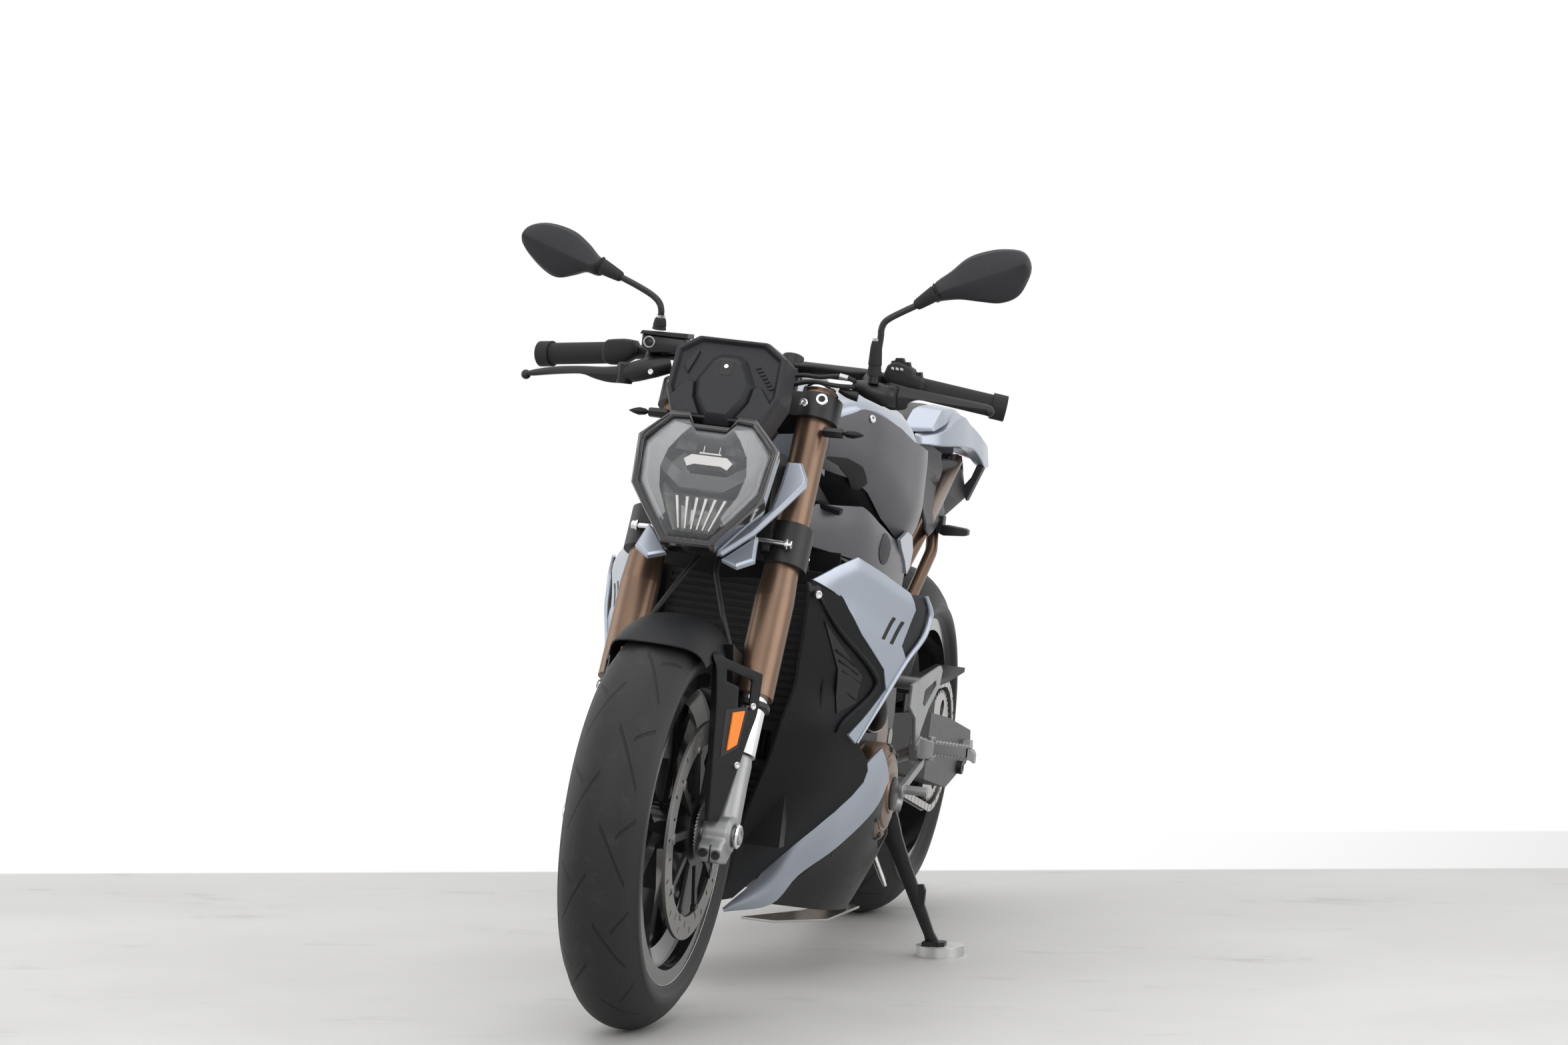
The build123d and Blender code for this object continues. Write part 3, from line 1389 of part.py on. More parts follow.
with BuildPart() as drive_chain:
    add(extrude(chain_loop(chain_roller_radius), amount=chain_core_half, both=True, mode=Mode.PRIVATE))
    add(extrude(chain_loop(-chain_roller_radius), amount=chain_core_half, both=True, mode=Mode.PRIVATE),
        mode=Mode.SUBTRACT)
    link_length = pitch_line.length / link_pairs - link_gap
    for side in (1, -1):
        with BuildSketch(beside(chain_line + side * chain_core_half)):
            for link in range(link_pairs):
                middle = pitch_line.position_at(link / link_pairs)
                along = pitch_line.tangent_at(link / link_pairs) * (link_length / 2)
                square = Vector(0, -along.Z, along.Y).normalized() * (link_plate_height / 2)
                Polygon(*[(corner.Y, corner.Z) for corner in (middle - along - square, middle + along - square,
                                                              middle + along + square, middle - along + square)])
        extrude(amount=side * link_plate_width)
finish("drive_chain", drive_chain)

with BuildPart() as front_sprocket:
    with BuildSketch(Plane(origin=(chain_line, front_sprocket_y, front_sprocket_height), x_dir=(0, 1, 0), z_dir=(1, 0, 0))):
        Circle(front_sprocket_radius - chain_roller_radius)
    extrude(amount=sprocket_thickness / 2, both=True)
    add(rod((88, front_sprocket_y, front_sprocket_height), (118, front_sprocket_y, front_sprocket_height), 14))
finish("front_sprocket", front_sprocket)

with BuildPart() as chain_guard:
    add(slab(beside(102), beyond(rear_place, [(-425, 125), (-165, 131), (-25, 141), (-25, 149), (-165, 141),
                                             (-425, 135)]), 54))
    add(slab(beside(arm_inner + 6), beyond(rear_place, [(-425, 89), (-165, 64), (-165, 141), (-425, 135)]), 4))
    add(swingarm_arms.part, mode=Mode.SUBTRACT)
finish("chain_guard", chain_guard)

with BuildPart() as rear_caliper:
    add(caliper(rear_centre, -rear_disc_offset, 60, 46, 74, 130, rear_disc_thickness / 2 + 5, 12, 12))
    add(slab(beside(-rear_disc_offset - 19), beyond(rear_place, [(-105, 29), (-25, 29), (10, 99), (-25, 119), (-85, 79)]),
             rear_disc_offset + 19 - arm_inner - arm_width / 4))
    add(swingarm_arms.part, mode=Mode.SUBTRACT)
finish("rear_caliper", rear_caliper)

# ================================================================ foot rests and controls
heel_outline = [(64, 498), (222, 506), (238, 470), (152, 352), (96, 350), (84, 404)]
heel_slot = [(108, 478), (196, 486), (204, 468), (142, 400), (116, 410)]

with BuildPart() as heel_plates:
    for side in (1, -1):
        add(slab(beside(side * 206), heel_outline, side * 6))
        add(slab(beside(side * 206), heel_slot, side * 6), mode=Mode.SUBTRACT)
        add(rod((side * (plate_inner + plate_width), 120, 480), (side * 206, 120, 480), 12))
        add(rod((side * (plate_inner + plate_width), 120, 345), (side * 206, 112, 372), 12))
    add(main_frame.part, mode=Mode.SUBTRACT)
finish("heel_plates", heel_plates)

with BuildPart() as foot_pegs:
    for side in (1, -1):
        add(rod((side * 212, 112, 376), (side * 306, 112, 376), 11))
finish("foot_pegs", foot_pegs)

with BuildPart() as pillion_pegs:
    for side in (1, -1):
        add(slab(beside(side * 162), [(334, 738), (368, 738), (364, 700), (342, 700)], side * 8))
        add(rod((side * 140, 350, 722), (side * 162, 350, 722), 10))
        add(rod((side * 170, 352, 712), (side * 206, 366, 712), 10))
    add(subframe.part, mode=Mode.SUBTRACT)
finish("pillion_pegs", pillion_pegs)

with BuildPart() as foot_controls:
    add(slab(beside(214), [(112, 352), (100, 344), (-40, 316), (-44, 326), (96, 360), (108, 364)], 8))
    add(rod((214, -36, 322), (252, -36, 322), 8))
    add(slab(beside(-222), [(112, 352), (100, 344), (-40, 316), (-44, 326), (96, 360), (108, 364)], 8))
    add(rod((-214, -36, 322), (-262, -36, 322), 10))
finish("foot_controls", foot_controls)

# ================================================================ side stand and its pad
pivot = Vector(*stand_pivot)
tilt = radians(stand_axis_tilt)
stand_axis = Vector(cos(tilt), 0, sin(tilt))
pad_top = ground.offset(puck_height)


def on_ground(x, y, up):
    """A point in the upright frame from its place on the ground and its height above it."""
    return ground.from_local_coords((x, y, up))


stand_tab_share = 0.62
stand_tab_length = 34
stand_tab_radius = 7

with BuildPart() as side_stand:
    foot_under = ground.offset(puck_height + stand_seat_gap)
    with BuildSketch(foot_under):
        with Locations(stand_foot):
            SlotOverall(stand_foot_radius * 2.4, stand_foot_radius * 1.7)
    extrude(amount=stand_foot_thickness)
    ankle = on_ground(*stand_foot, puck_height + stand_seat_gap + stand_foot_thickness * 0.6)
    knee = pivot + (ankle - pivot) * 0.05
    add(rod(knee, ankle, stand_leg_radius))
    tab = pivot + (ankle - pivot) * stand_tab_share
    add(rod(tab, tab + stand_axis * stand_tab_length, stand_tab_radius))
    with BuildSketch(Plane(origin=pivot - stand_axis * 10, z_dir=stand_axis)):
        Circle(stand_eye_radius)
    extrude(amount=20)
    with BuildSketch(Plane(origin=pivot - stand_axis * 10, z_dir=stand_axis)):
        Circle(stand_pin_radius + running_clearance)
    extrude(amount=20, mode=Mode.SUBTRACT)
    split(bisect_by=foot_under, keep=Keep.TOP)
finish("side_stand", side_stand)

with BuildPart() as stand_bracket:
    add(rod(pivot - stand_axis * 28, pivot + stand_axis * 17, stand_pin_radius))
    add(rod(pivot - stand_axis * 28, pivot - stand_axis * 16, stand_eye_radius))
    add(rod(pivot + stand_axis * 16, pivot + stand_axis * 20, stand_pin_radius + 5))
    add(rod(pivot - stand_axis * 22, (134, 110, 300), 11))
    add(main_frame.part, mode=Mode.SUBTRACT)
finish("stand_bracket", stand_bracket)

with BuildPart() as stand_puck:
    with BuildSketch(ground):
        with Locations((stand_foot[0] + 4, stand_foot[1])):
            Circle(puck_radius)
    extrude(amount=puck_height)
finish("stand_puck", stand_puck)

# ================================================================ stance and writing
# Every piece leans onto the stand, and the origin goes on the ground under the middle of the whole.
for piece in pieces.values():
    piece.part.move(Location((0, 0, 0), (0, lean, 0)))
box = Compound([piece.part for piece in pieces.values()]).bounding_box()
centring = Location((-box.center().X, -box.center().Y, 0))
for label, piece in pieces.items():
    piece.part.move(centring)
    export_step(piece.part, f"parts/{label}.step")
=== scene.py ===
import math

import bmesh
import bpy
from mathutils import Matrix, Vector
from mathutils.bvhtree import BVHTree


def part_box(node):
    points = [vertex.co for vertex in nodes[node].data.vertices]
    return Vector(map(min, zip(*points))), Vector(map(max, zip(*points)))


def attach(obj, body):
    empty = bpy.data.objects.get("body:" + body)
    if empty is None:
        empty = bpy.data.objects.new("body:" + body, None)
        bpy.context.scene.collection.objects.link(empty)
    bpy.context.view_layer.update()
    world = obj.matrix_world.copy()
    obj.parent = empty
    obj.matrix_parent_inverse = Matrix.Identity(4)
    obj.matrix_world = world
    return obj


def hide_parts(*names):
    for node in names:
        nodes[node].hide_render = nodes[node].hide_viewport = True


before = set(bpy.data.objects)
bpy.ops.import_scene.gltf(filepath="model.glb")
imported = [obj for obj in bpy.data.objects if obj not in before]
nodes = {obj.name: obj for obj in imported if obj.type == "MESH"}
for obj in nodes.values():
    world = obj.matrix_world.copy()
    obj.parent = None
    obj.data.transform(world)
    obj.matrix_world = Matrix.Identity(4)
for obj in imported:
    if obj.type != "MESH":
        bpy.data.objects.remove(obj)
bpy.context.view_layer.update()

scene = bpy.context.scene

# The motorcycle is drawn upright in its own millimetres: X to its left, Y to the rear, Z up from the ground
# and the origin halfway between the axles. Then it leans onto its stand, where the CAD axle is.
stance = {
    "lean": math.radians(7),
    "rake": math.radians(24.2),
    "wheelbase": 1450.0,
    "frontRadius": 300.0,
    "rearRadius": 320.0,
    "frontCrown": 60.0,
    "rearCrown": 96.0,
    "trail": 96.0,
}


def axleHeight(radius, crown):
    return radius - crown + crown / math.cos(stance["lean"])


frontAxle = Vector((0, -stance["wheelbase"] / 2, axleHeight(stance["frontRadius"], stance["frontCrown"])))
rearAxle = Vector((0, stance["wheelbase"] / 2, axleHeight(stance["rearRadius"], stance["rearCrown"])))
leaned = Matrix.Rotation(stance["lean"], 4, "Y") @ Matrix.Scale(0.001, 4)
axleLow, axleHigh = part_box("front_axle")
axleMiddle = (axleLow + axleHigh) / 2
toRow = Matrix.Translation(axleMiddle - leaned @ frontAxle) @ leaned
rakeSin, rakeCos = math.sin(stance["rake"]), math.cos(stance["rake"])
steerUp = Vector((0, rakeSin, rakeCos))
steerOut = Vector((0, -rakeCos, rakeSin))
steerFoot = frontAxle - steerOut * (stance["frontRadius"] * rakeSin - stance["trail"] * rakeCos)


# A place given by how far it is across, out in front of the steering axis and up along it.
def onSteer(x, forward, up):
    return steerFoot + Vector((x, 0, 0)) + steerOut * forward + steerUp * up


# Shader sums: a socket that can be added, multiplied and compared like a number.
class Wire:
    def __init__(self, board, socket):
        self.board, self.socket = board, socket

    def sum(self, operation, *others, flipped=False):
        terms = [self, *others]
        if flipped:
            terms.reverse()
        return self.board.node("ShaderNodeMath", {"operation": operation}, dict(enumerate(terms)))

    def within(self, low, high):
        return self.board.node("ShaderNodeMapRange", {"interpolation_type": "SMOOTHSTEP"},
                               {"Value": self, "From Min": low, "From Max": high})

    def __abs__(self):
        return self.sum("ABSOLUTE")


def operator(operation, flipped=False):
    return lambda wire, other: wire.sum(operation, other, flipped=flipped)


for sign, operation in {"add": "ADD", "sub": "SUBTRACT", "mul": "MULTIPLY", "pow": "POWER", "mod": "FLOORED_MODULO",
                        "lt": "LESS_THAN", "gt": "GREATER_THAN"}.items():
    setattr(Wire, f"__{sign}__", operator(operation))
for sign, operation in {"radd": "ADD", "rsub": "SUBTRACT", "rmul": "MULTIPLY"}.items():
    setattr(Wire, f"__{sign}__", operator(operation, flipped=True))


class Board:
    def __init__(self, holder):
        self.holder = bpy.data.materials.new(holder) if isinstance(holder, str) else holder
        self.holder.use_nodes = True
        self.tree = self.holder.node_tree
        self.tree.nodes.clear()

    def node(self, kind, settings=None, values=None, out=0):
        made = self.tree.nodes.new(kind)
        for key, value in (settings or {}).items():
            if key == "stops":
                elements = made.color_ramp.elements
                elements.remove(elements[1])
                elements[0].position, elements[0].color = value[0][0], (*value[0][1], 1)
                for place, colour in value[1:]:
                    elements.new(place).color = (*colour, 1)
            else:
                setattr(made, key, value)
        for key, value in (values or {}).items():
            if isinstance(value, Wire):
                self.tree.links.new(value.socket, made.inputs[key])
            elif value is not None:
                made.inputs[key].default_value = value
        return Wire(self, made.outputs[out]) if made.outputs else None

    def place(self, kind="Object"):
        return self.node("ShaderNodeTexCoord", out={"Generated": 0, "UV": 2, "Object": 3}[kind])

    def axis(self, place, number):
        return self.node("ShaderNodeSeparateXYZ", {}, {0: place}, number)

    def noise(self, scale, detail=3.0, roughness=0.55, place=None):
        return self.node("ShaderNodeTexNoise", {}, {"Vector": place or self.place(), "Scale": scale,
                                                    "Detail": detail, "Roughness": roughness})

    def mix(self, factor, first, second):
        return self.node("ShaderNodeMix", {"data_type": "RGBA"}, {0: factor, 6: colour(first), 7: colour(second)}, 2)

    def bump(self, height, depth, strength=0.5, under=None):
        return self.node("ShaderNodeBump", {}, {"Height": height, "Distance": depth, "Strength": strength,
                                                "Normal": under})

    def soften(self, radius):
        return self.node("ShaderNodeBevel", {"samples": 4}, {"Radius": radius})

    def surface(self, **values):
        named = {key.replace("_", " "): value for key, value in values.items()}
        named["Base Color"] = colour(named["Base Color"])
        return self.node("ShaderNodeBsdfPrincipled", {}, named)

    def done(self, shader):
        self.node("ShaderNodeOutputMaterial", {}, {"Surface": shader})
        return self.holder


def colour(value):
    return (*value, 1.0) if isinstance(value, tuple) and len(value) == 3 else value


# Finishes, each made by one function from a row of values.
dustTone = (0.35, 0.34, 0.33)


def paint(name, values):
    board = Board(name)
    flakes = board.noise(2600.0, 1.0)
    broad = board.noise(3.5, 2.0)
    tone = board.mix(broad * 0.5 + 0.25, values["deep"], values["tone"])
    tone = board.mix(flakes.within(0.55, 0.75) * values["sparkle"], tone, values["flake"])
    dust = board.noise(42.0, 5.0).within(0.62, 0.8)
    tone = board.mix(dust * values["dust"], tone, dustTone)
    rough = values["rough"] + dust * 0.12 + (broad - 0.5) * 0.06
    normal = board.bump(board.noise(900.0, 1.0), 0.00004, 0.25, board.soften(values["edge"]))
    return board.done(board.surface(Base_Color=tone, Roughness=rough, Metallic=values["metal"], Normal=normal,
                                    Coat_Weight=values["coat"], Coat_Roughness=values["coatRough"]))


def moulded(name, values):
    board = Board(name)
    cells = board.node("ShaderNodeTexVoronoi", {"feature": "F1"}, {"Vector": board.place(), "Scale": values["grain"]})
    broad = board.noise(6.0, 3.0)
    rub = board.noise(28.0, 5.0, 0.65).within(0.58, 0.78)
    tone = board.mix(broad, values["deep"], values["tone"])
    tone = board.mix(rub * values["dust"], tone, (0.3, 0.29, 0.28))
    rough = values["rough"] + (broad - 0.5) * 0.1 + rub * 0.08
    normal = board.bump(cells, values["depth"], 0.4, board.soften(values["edge"]))
    return board.done(board.surface(Base_Color=tone, Roughness=rough, Normal=normal,
                                    Specular_IOR_Level=values["sheen"]))


def metal(name, values):
    board = Board(name)
    place = board.place()
    run = board.node("ShaderNodeMapping", {}, {"Vector": place, "Scale": values["run"]})
    lines = board.noise(60.0, 3.0, 0.7, run)
    patches = board.noise(14.0, 4.0)
    stain = board.noise(38.0, 5.0, 0.6).within(0.6, 0.8)
    tone = board.mix(patches, values["deep"], values["tone"])
    tone = board.mix(stain * values["stain"], tone, values["dirt"])
    rough = values["rough"] + (lines - 0.5) * values["streak"] + stain * 0.1
    normal = board.bump(lines, values["depth"], 0.4, board.soften(values["edge"]))
    return board.done(board.surface(Base_Color=tone, Roughness=rough, Metallic=values["metal"], Normal=normal))


def rubberFinish(name, values):
    board = Board(name)
    broad = board.noise(11.0, 4.0)
    fine = board.noise(700.0, 3.0)
    scuff = board.noise(34.0, 6.0, 0.7).within(0.57, 0.75)
    tone = board.mix(broad, values["deep"], values["tone"])
    tone = board.mix(scuff * values["dust"], tone, (0.16, 0.15, 0.14))
    rough = values["rough"] + (broad - 0.5) * 0.12
    return board.done(board.surface(Base_Color=tone, Roughness=rough, Specular_IOR_Level=0.3,
                                    Normal=board.bump(fine, 0.0002, 0.5, board.soften(0.0006))))


def lensFinish(name, values):
    board = Board(name)
    fine = board.noise(30.0, 3.0)
    rough = values["rough"] + fine * 0.04
    # Glow gives the lens an emission of its own tone; on the amber reflectors, which are no lamps, it is painted light.
    shader = board.surface(Base_Color=values["tone"], Roughness=rough, Transmission_Weight=values["clear"],
                           IOR=values["ior"], Emission_Color=colour(values["tone"]),
                           Emission_Strength=values["glow"], Normal=board.bump(fine, 0.00005, 0.2))
    return board.done(shader)


paints = {
    "panel": {"deep": (0.335, 0.37, 0.43), "tone": (0.395, 0.43, 0.495), "flake": (0.62, 0.66, 0.72), "sparkle": 0.25,
              "dust": 0.04, "rough": 0.34, "metal": 0.55, "coat": 0.35, "coatRough": 0.18, "edge": 0.0012},
    "gloss": {"deep": (0.008, 0.008, 0.009), "tone": (0.014, 0.014, 0.016), "flake": (0.04, 0.04, 0.045),
              "sparkle": 0.1, "dust": 0.03, "rough": 0.16, "metal": 0.0, "coat": 0.7, "coatRough": 0.06,
              "edge": 0.001},
}
plastics = {
    "dark": {"deep": (0.015, 0.0155, 0.018), "tone": (0.024, 0.0245, 0.028), "grain": 1500.0, "depth": 0.0001,
             "rough": 0.48, "dust": 0.04, "sheen": 0.28, "edge": 0.0012},
    "shield": {"deep": (0.082, 0.079, 0.087), "tone": (0.110, 0.107, 0.117), "grain": 1700.0, "depth": 0.00006,
               "rough": 0.36, "dust": 0.04, "sheen": 0.5, "edge": 0.0012},
    "cowl": {"deep": (0.005, 0.0055, 0.0065), "tone": (0.010, 0.0105, 0.0122), "grain": 1300.0, "depth": 0.0001,
             "rough": 0.5, "dust": 0.03, "sheen": 0.2, "edge": 0.0012},
    "grip": {"deep": (0.010, 0.010, 0.011), "tone": (0.018, 0.018, 0.019), "grain": 700.0, "depth": 0.0002,
             "rough": 0.68, "dust": 0.1, "sheen": 0.3, "edge": 0.0008},
}
metals = {
    "black": {"deep": (0.004, 0.004, 0.0048), "tone": (0.008, 0.008, 0.009), "dirt": (0.12, 0.11, 0.10),
              "stain": 0.06, "metal": 0.15, "rough": 0.42, "streak": 0.1, "depth": 0.0001, "run": (1, 1, 1),
              "edge": 0.001},
    "bronze": {"deep": (0.150, 0.096, 0.066), "tone": (0.200, 0.131, 0.093), "dirt": (0.14, 0.10, 0.075),
               "stain": 0.15, "metal": 0.85, "rough": 0.34, "streak": 0.12, "depth": 0.00006, "run": (1, 1, 6),
               "edge": 0.001},
    "cast": {"deep": (0.25, 0.253, 0.257), "tone": (0.35, 0.353, 0.357), "dirt": (0.16, 0.15, 0.14), "stain": 0.3,
             "metal": 0.75, "rough": 0.42, "streak": 0.1, "depth": 0.00025, "run": (3, 3, 3), "edge": 0.0015},
    "bright": {"deep": (0.72, 0.72, 0.73), "tone": (0.84, 0.84, 0.85), "dirt": (0.4, 0.38, 0.35), "stain": 0.05,
               "metal": 1.0, "rough": 0.14, "streak": 0.08, "depth": 0.00003, "run": (1, 1, 1), "edge": 0.0008},
    "brushed": {"deep": (0.40, 0.39, 0.38), "tone": (0.54, 0.53, 0.52), "dirt": (0.22, 0.19, 0.16),
                "stain": 0.25, "metal": 1.0, "rough": 0.32, "streak": 0.3, "depth": 0.00005, "run": (1, 9, 9),
                "edge": 0.0006},
    "steel": {"deep": (0.36, 0.35, 0.34), "tone": (0.5, 0.49, 0.47), "dirt": (0.14, 0.12, 0.11), "stain": 0.4,
              "metal": 0.95, "rough": 0.36, "streak": 0.16, "depth": 0.00008, "run": (4, 1, 1), "edge": 0.0008},
    "engine": {"deep": (0.030, 0.030, 0.032), "tone": (0.055, 0.055, 0.058), "dirt": (0.17, 0.15, 0.13),
               "stain": 0.35, "metal": 0.4, "rough": 0.5, "streak": 0.12, "depth": 0.0003, "run": (3, 3, 3),
               "edge": 0.0015},
    "turned": {"deep": (0.50, 0.50, 0.50), "tone": (0.68, 0.68, 0.68), "dirt": (0.3, 0.29, 0.28), "stain": 0.2,
               "metal": 0.9, "rough": 0.3, "streak": 0.2, "depth": 0.00006, "run": (1, 1, 14), "edge": 0.0012},
}
rubbers = {
    "hose": {"deep": (0.010, 0.010, 0.010), "tone": (0.02, 0.02, 0.02), "rough": 0.5, "dust": 0.1},
    "tyre": {"deep": (0.006, 0.006, 0.0065), "tone": (0.012, 0.012, 0.0128), "rough": 0.62, "dust": 0.25},
}
# The amber reflectors are no lamps, so their faint glow is painted light.
lenses = {
    "amber": {"tone": (0.85, 0.22, 0.02), "rough": 0.18, "clear": 0.0, "ior": 1.5, "glow": 0.12},
    "red": {"tone": (0.42, 0.012, 0.012), "rough": 0.12, "clear": 0.0, "ior": 1.5, "glow": 0.05},
    "clear": {"tone": (0.93, 0.95, 0.97), "rough": 0.015, "clear": 1.0, "ior": 1.25, "glow": 0.0},
}
finishes = {}
for rows, make, ending in ((paints, paint, "Paint"), (plastics, moulded, "Plastic"), (metals, metal, "Metal"),
                           (rubbers, rubberFinish, "Rubber"), (lenses, lensFinish, "Lens")):
    for key, values in rows.items():
        finishes[key] = make(key + ending, values)


def heated():
    board = Board("heatedSteel")
    height = board.axis(board.place(), 2)
    patches = board.noise(16.0, 4.0)
    band = (height * 2.2 + patches * 0.35).within(0.15, 1.3)
    tone = board.node("ShaderNodeValToRGB", {"stops": [(0.0, (0.30, 0.27, 0.24)), (0.3, (0.34, 0.25, 0.17)),
                                                       (0.5, (0.24, 0.19, 0.24)), (0.7, (0.17, 0.20, 0.27)),
                                                       (1.0, (0.32, 0.29, 0.25))]}, {0: band})
    soot = board.noise(40.0, 5.0).within(0.55, 0.75)
    tone = board.mix(soot * 0.35, tone, (0.06, 0.05, 0.045))
    return board.done(board.surface(Base_Color=tone, Roughness=0.3 + soot * 0.25, Metallic=0.95,
                                    Normal=board.bump(patches, 0.0002, 0.3, board.soften(0.001))))


def leather():
    board = Board("seatCover")
    cells = board.node("ShaderNodeTexVoronoi", {"feature": "DISTANCE_TO_EDGE"},
                       {"Vector": board.place(), "Scale": 620.0})
    wrinkle = board.noise(36.0, 4.0)
    broad = board.noise(5.0, 3.0)
    tone = board.mix(broad, (0.022, 0.022, 0.024), (0.040, 0.040, 0.043))
    tone = board.mix(cells.within(0.0, 0.25) * 0.5, tone, (0.050, 0.050, 0.054))
    height = cells.within(0.0, 0.3) * 0.5 + wrinkle * 0.6
    return board.done(board.surface(Base_Color=tone, Roughness=0.52 + (broad - 0.5) * 0.15,
                                    Normal=board.bump(height, 0.0004, 0.5)))


def discFinish(name, edge, carrier):
    made = nodes[name]
    low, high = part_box(name)
    back = made.matrix_world.inverted()
    centre = back @ ((low + high) / 2)
    axis = (back.to_3x3() @ leaned.to_3x3() @ Vector((1, 0, 0))).normalized()
    board = Board(name + "Metal")
    apart = board.node("ShaderNodeVectorMath", {"operation": "SUBTRACT"}, {0: board.place(), 1: centre})
    along = board.node("ShaderNodeVectorMath", {"operation": "DOT_PRODUCT"}, {0: apart, 1: axis}, 1)
    square = board.node("ShaderNodeVectorMath", {"operation": "DOT_PRODUCT"}, {0: apart, 1: apart}, 1)
    reach = (square - along * along) ** 0.5
    band = reach.within(edge - 0.0005, edge + 0.0005)
    rings = board.noise(30.0, 3.0, 0.7, board.node("ShaderNodeCombineXYZ", {}, {0: reach * 60.0}))
    patches = board.noise(14.0, 4.0)
    tone = board.mix(patches, (0.22, 0.213, 0.205), (0.32, 0.312, 0.30))
    return board.done(board.surface(Base_Color=board.mix(band, carrier, tone), Metallic=0.2 + band * 0.75,
                                    Roughness=0.32 + rings * 0.14,
                                    Normal=board.bump(rings, 0.00005, 0.3, board.soften(0.0006))))


finishes["heated"] = heated()
finishes["leather"] = leather()
finishes["frontDisc"] = discFinish("front_discs", 0.1262, (0.010, 0.010, 0.011))
finishes["rearDisc"] = discFinish("rear_disc", 0.0800, (0.012, 0.012, 0.013))

# What each CAD node wears, also where a finer piece replaces it.
wardrobe = {
    "panel": "fuel_tank radiator_shrouds belly_pan tail_plates headlight_fins",
    "dark": "tank_covers side_covers front_fender mirrors display under_tail front_turn_signals",
    "cowl": "radiator_cowls chain_guard",
    "gloss": "front_rim rear_rim headlight_shell",
    "black": "swingarm swingarm_arms pillion_pegs yokes handlebar bar_controls main_frame side_stand front_calipers "
             "rear_caliper radiator stand_bracket",
    "bronze": "fork_tubes engine_covers subframe",
    "cast": "fork_feet heel_plates foot_pegs foot_controls rear_axle front_axle pivot_bolt fuel_cap",
    "bright": "fork_sliders headlight_insert",
    "frontDisc": "front_discs",
    "rearDisc": "rear_disc",
    "steel": "rear_sprocket front_sprocket drive_chain rear_shock",
    "heated": "exhaust",
    "engine": "engine",
    "grip": "grips",
    "hose": "brake_hoses",
    "tyre": "front_tyre rear_tyre",
    "leather": "rider_seat pillion_seat",
    "clear": "headlight_lens",
    "red": "tail_light",
    "amber": "front_reflectors",
    "turned": "stand_puck",
}
for finish, names in wardrobe.items():
    for name in names.split():
        worn = nodes[name]
        if not worn.material_slots:
            worn.data.materials.append(finishes[finish])
        for holder in worn.material_slots:
            holder.material = finishes[finish]
print("finishes made")

# The camera stands where the motorcycle is seen from its front left.
eye = {
    "fromAxle": Vector((1.563582, -5.414457, 0.550341)),   # metres from the middle of the front axle
    "yaw": -0.246851,
    "pitch": -0.019836,
    "roll": -0.003886,
    "lens": 88.914,
    "sensor": 36.0,
}
ahead = Vector((math.sin(eye["yaw"]) * math.cos(eye["pitch"]), math.cos(eye["yaw"]) * math.cos(eye["pitch"]),
                math.sin(eye["pitch"])))
across = ahead.cross(Vector((0, 0, 1))).normalized()
above = across.cross(ahead)
rightward = across * math.cos(eye["roll"]) + above * math.sin(eye["roll"])
upward = above * math.cos(eye["roll"]) - across * math.sin(eye["roll"])
cameraData = bpy.data.cameras.new("camera")
cameraData.lens, cameraData.sensor_width = eye["lens"], eye["sensor"]
camera = bpy.data.objects.new("camera", cameraData)
scene.collection.objects.link(camera)
facingOut = Matrix((rightward, upward, -ahead)).transposed().to_4x4()
camera.matrix_world = Matrix.Translation(axleMiddle + eye["fromAxle"]) @ facingOut
scene.camera = camera

# A pale floor under soft light.
studio = {
    "floorSize": 30.0,
    "wallLine": 1.42,       # where the floor turns white, behind the motorcycle
    "wallSlant": 0.25,
    "skirtingTone": 0.80,
    "floorTone": (0.64, 0.635, 0.62),
    "ambient": 0.68,
    "lamps": [
        # name, place, aimed at, width, depth, power
        ("overhead", (0.0, -0.6, 3.4), (0.0, 0.0, 0.4), 3.6, 4.2, 58.0),
        ("leftWall", (3.2, -0.8, 1.5), (0.0, -0.1, 0.6), 2.6, 2.2, 34.0),
        ("rightWall", (-3.2, -0.6, 1.4), (0.0, 0.0, 0.6), 2.6, 2.2, 26.0),
        ("front", (0.6, -4.6, 2.2), (0.0, -0.6, 0.3), 3.0, 1.6, 46.0),
    ],
}


def floorFinish():
    board = Board("studioFloor")
    place = board.place()
    side, depth = board.axis(place, 0), board.axis(place, 1)
    mottle = board.noise(1.6, 5.0, 0.6)
    fine = board.noise(45.0, 4.0)
    tone = board.mix(mottle.within(0.25, 0.8), (0.55, 0.545, 0.53), studio["floorTone"])
    tone = board.mix(fine * 0.12, tone, (0.66, 0.655, 0.64))
    drawn = board.node("ShaderNodeMapping", {}, {"Vector": board.place(), "Scale": (1.0, 2.6, 1.0),
                                                 "Location": (3.1, 0.7, 0.0)})
    stain = board.noise(1.9, 6.0, 0.72, drawn)
    concrete = board.surface(Base_Color=board.mix(stain.within(0.56, 0.72) * 0.45, tone, (0.30, 0.295, 0.28)),
                             Roughness=0.42 + mottle * 0.2, Specular_IOR_Level=0.35)
    white, grey = (board.node("ShaderNodeEmission", {}, {"Color": (tone, tone, tone, 1.0), "Strength": 1.0})
                   for tone in (1.0, studio["skirtingTone"]))
    line, start = depth - side * studio["wallSlant"], studio["wallLine"]
    skirting = side.within(0.1, 1.6) * (1.0 - line.within(start + 0.75, start + 0.80))
    wall = board.node("ShaderNodeMixShader", {}, {0: skirting, 1: white, 2: grey})
    beyond = line.within(start, start + 0.03)
    return board.done(board.node("ShaderNodeMixShader", {}, {0: beyond, 1: concrete, 2: wall}))


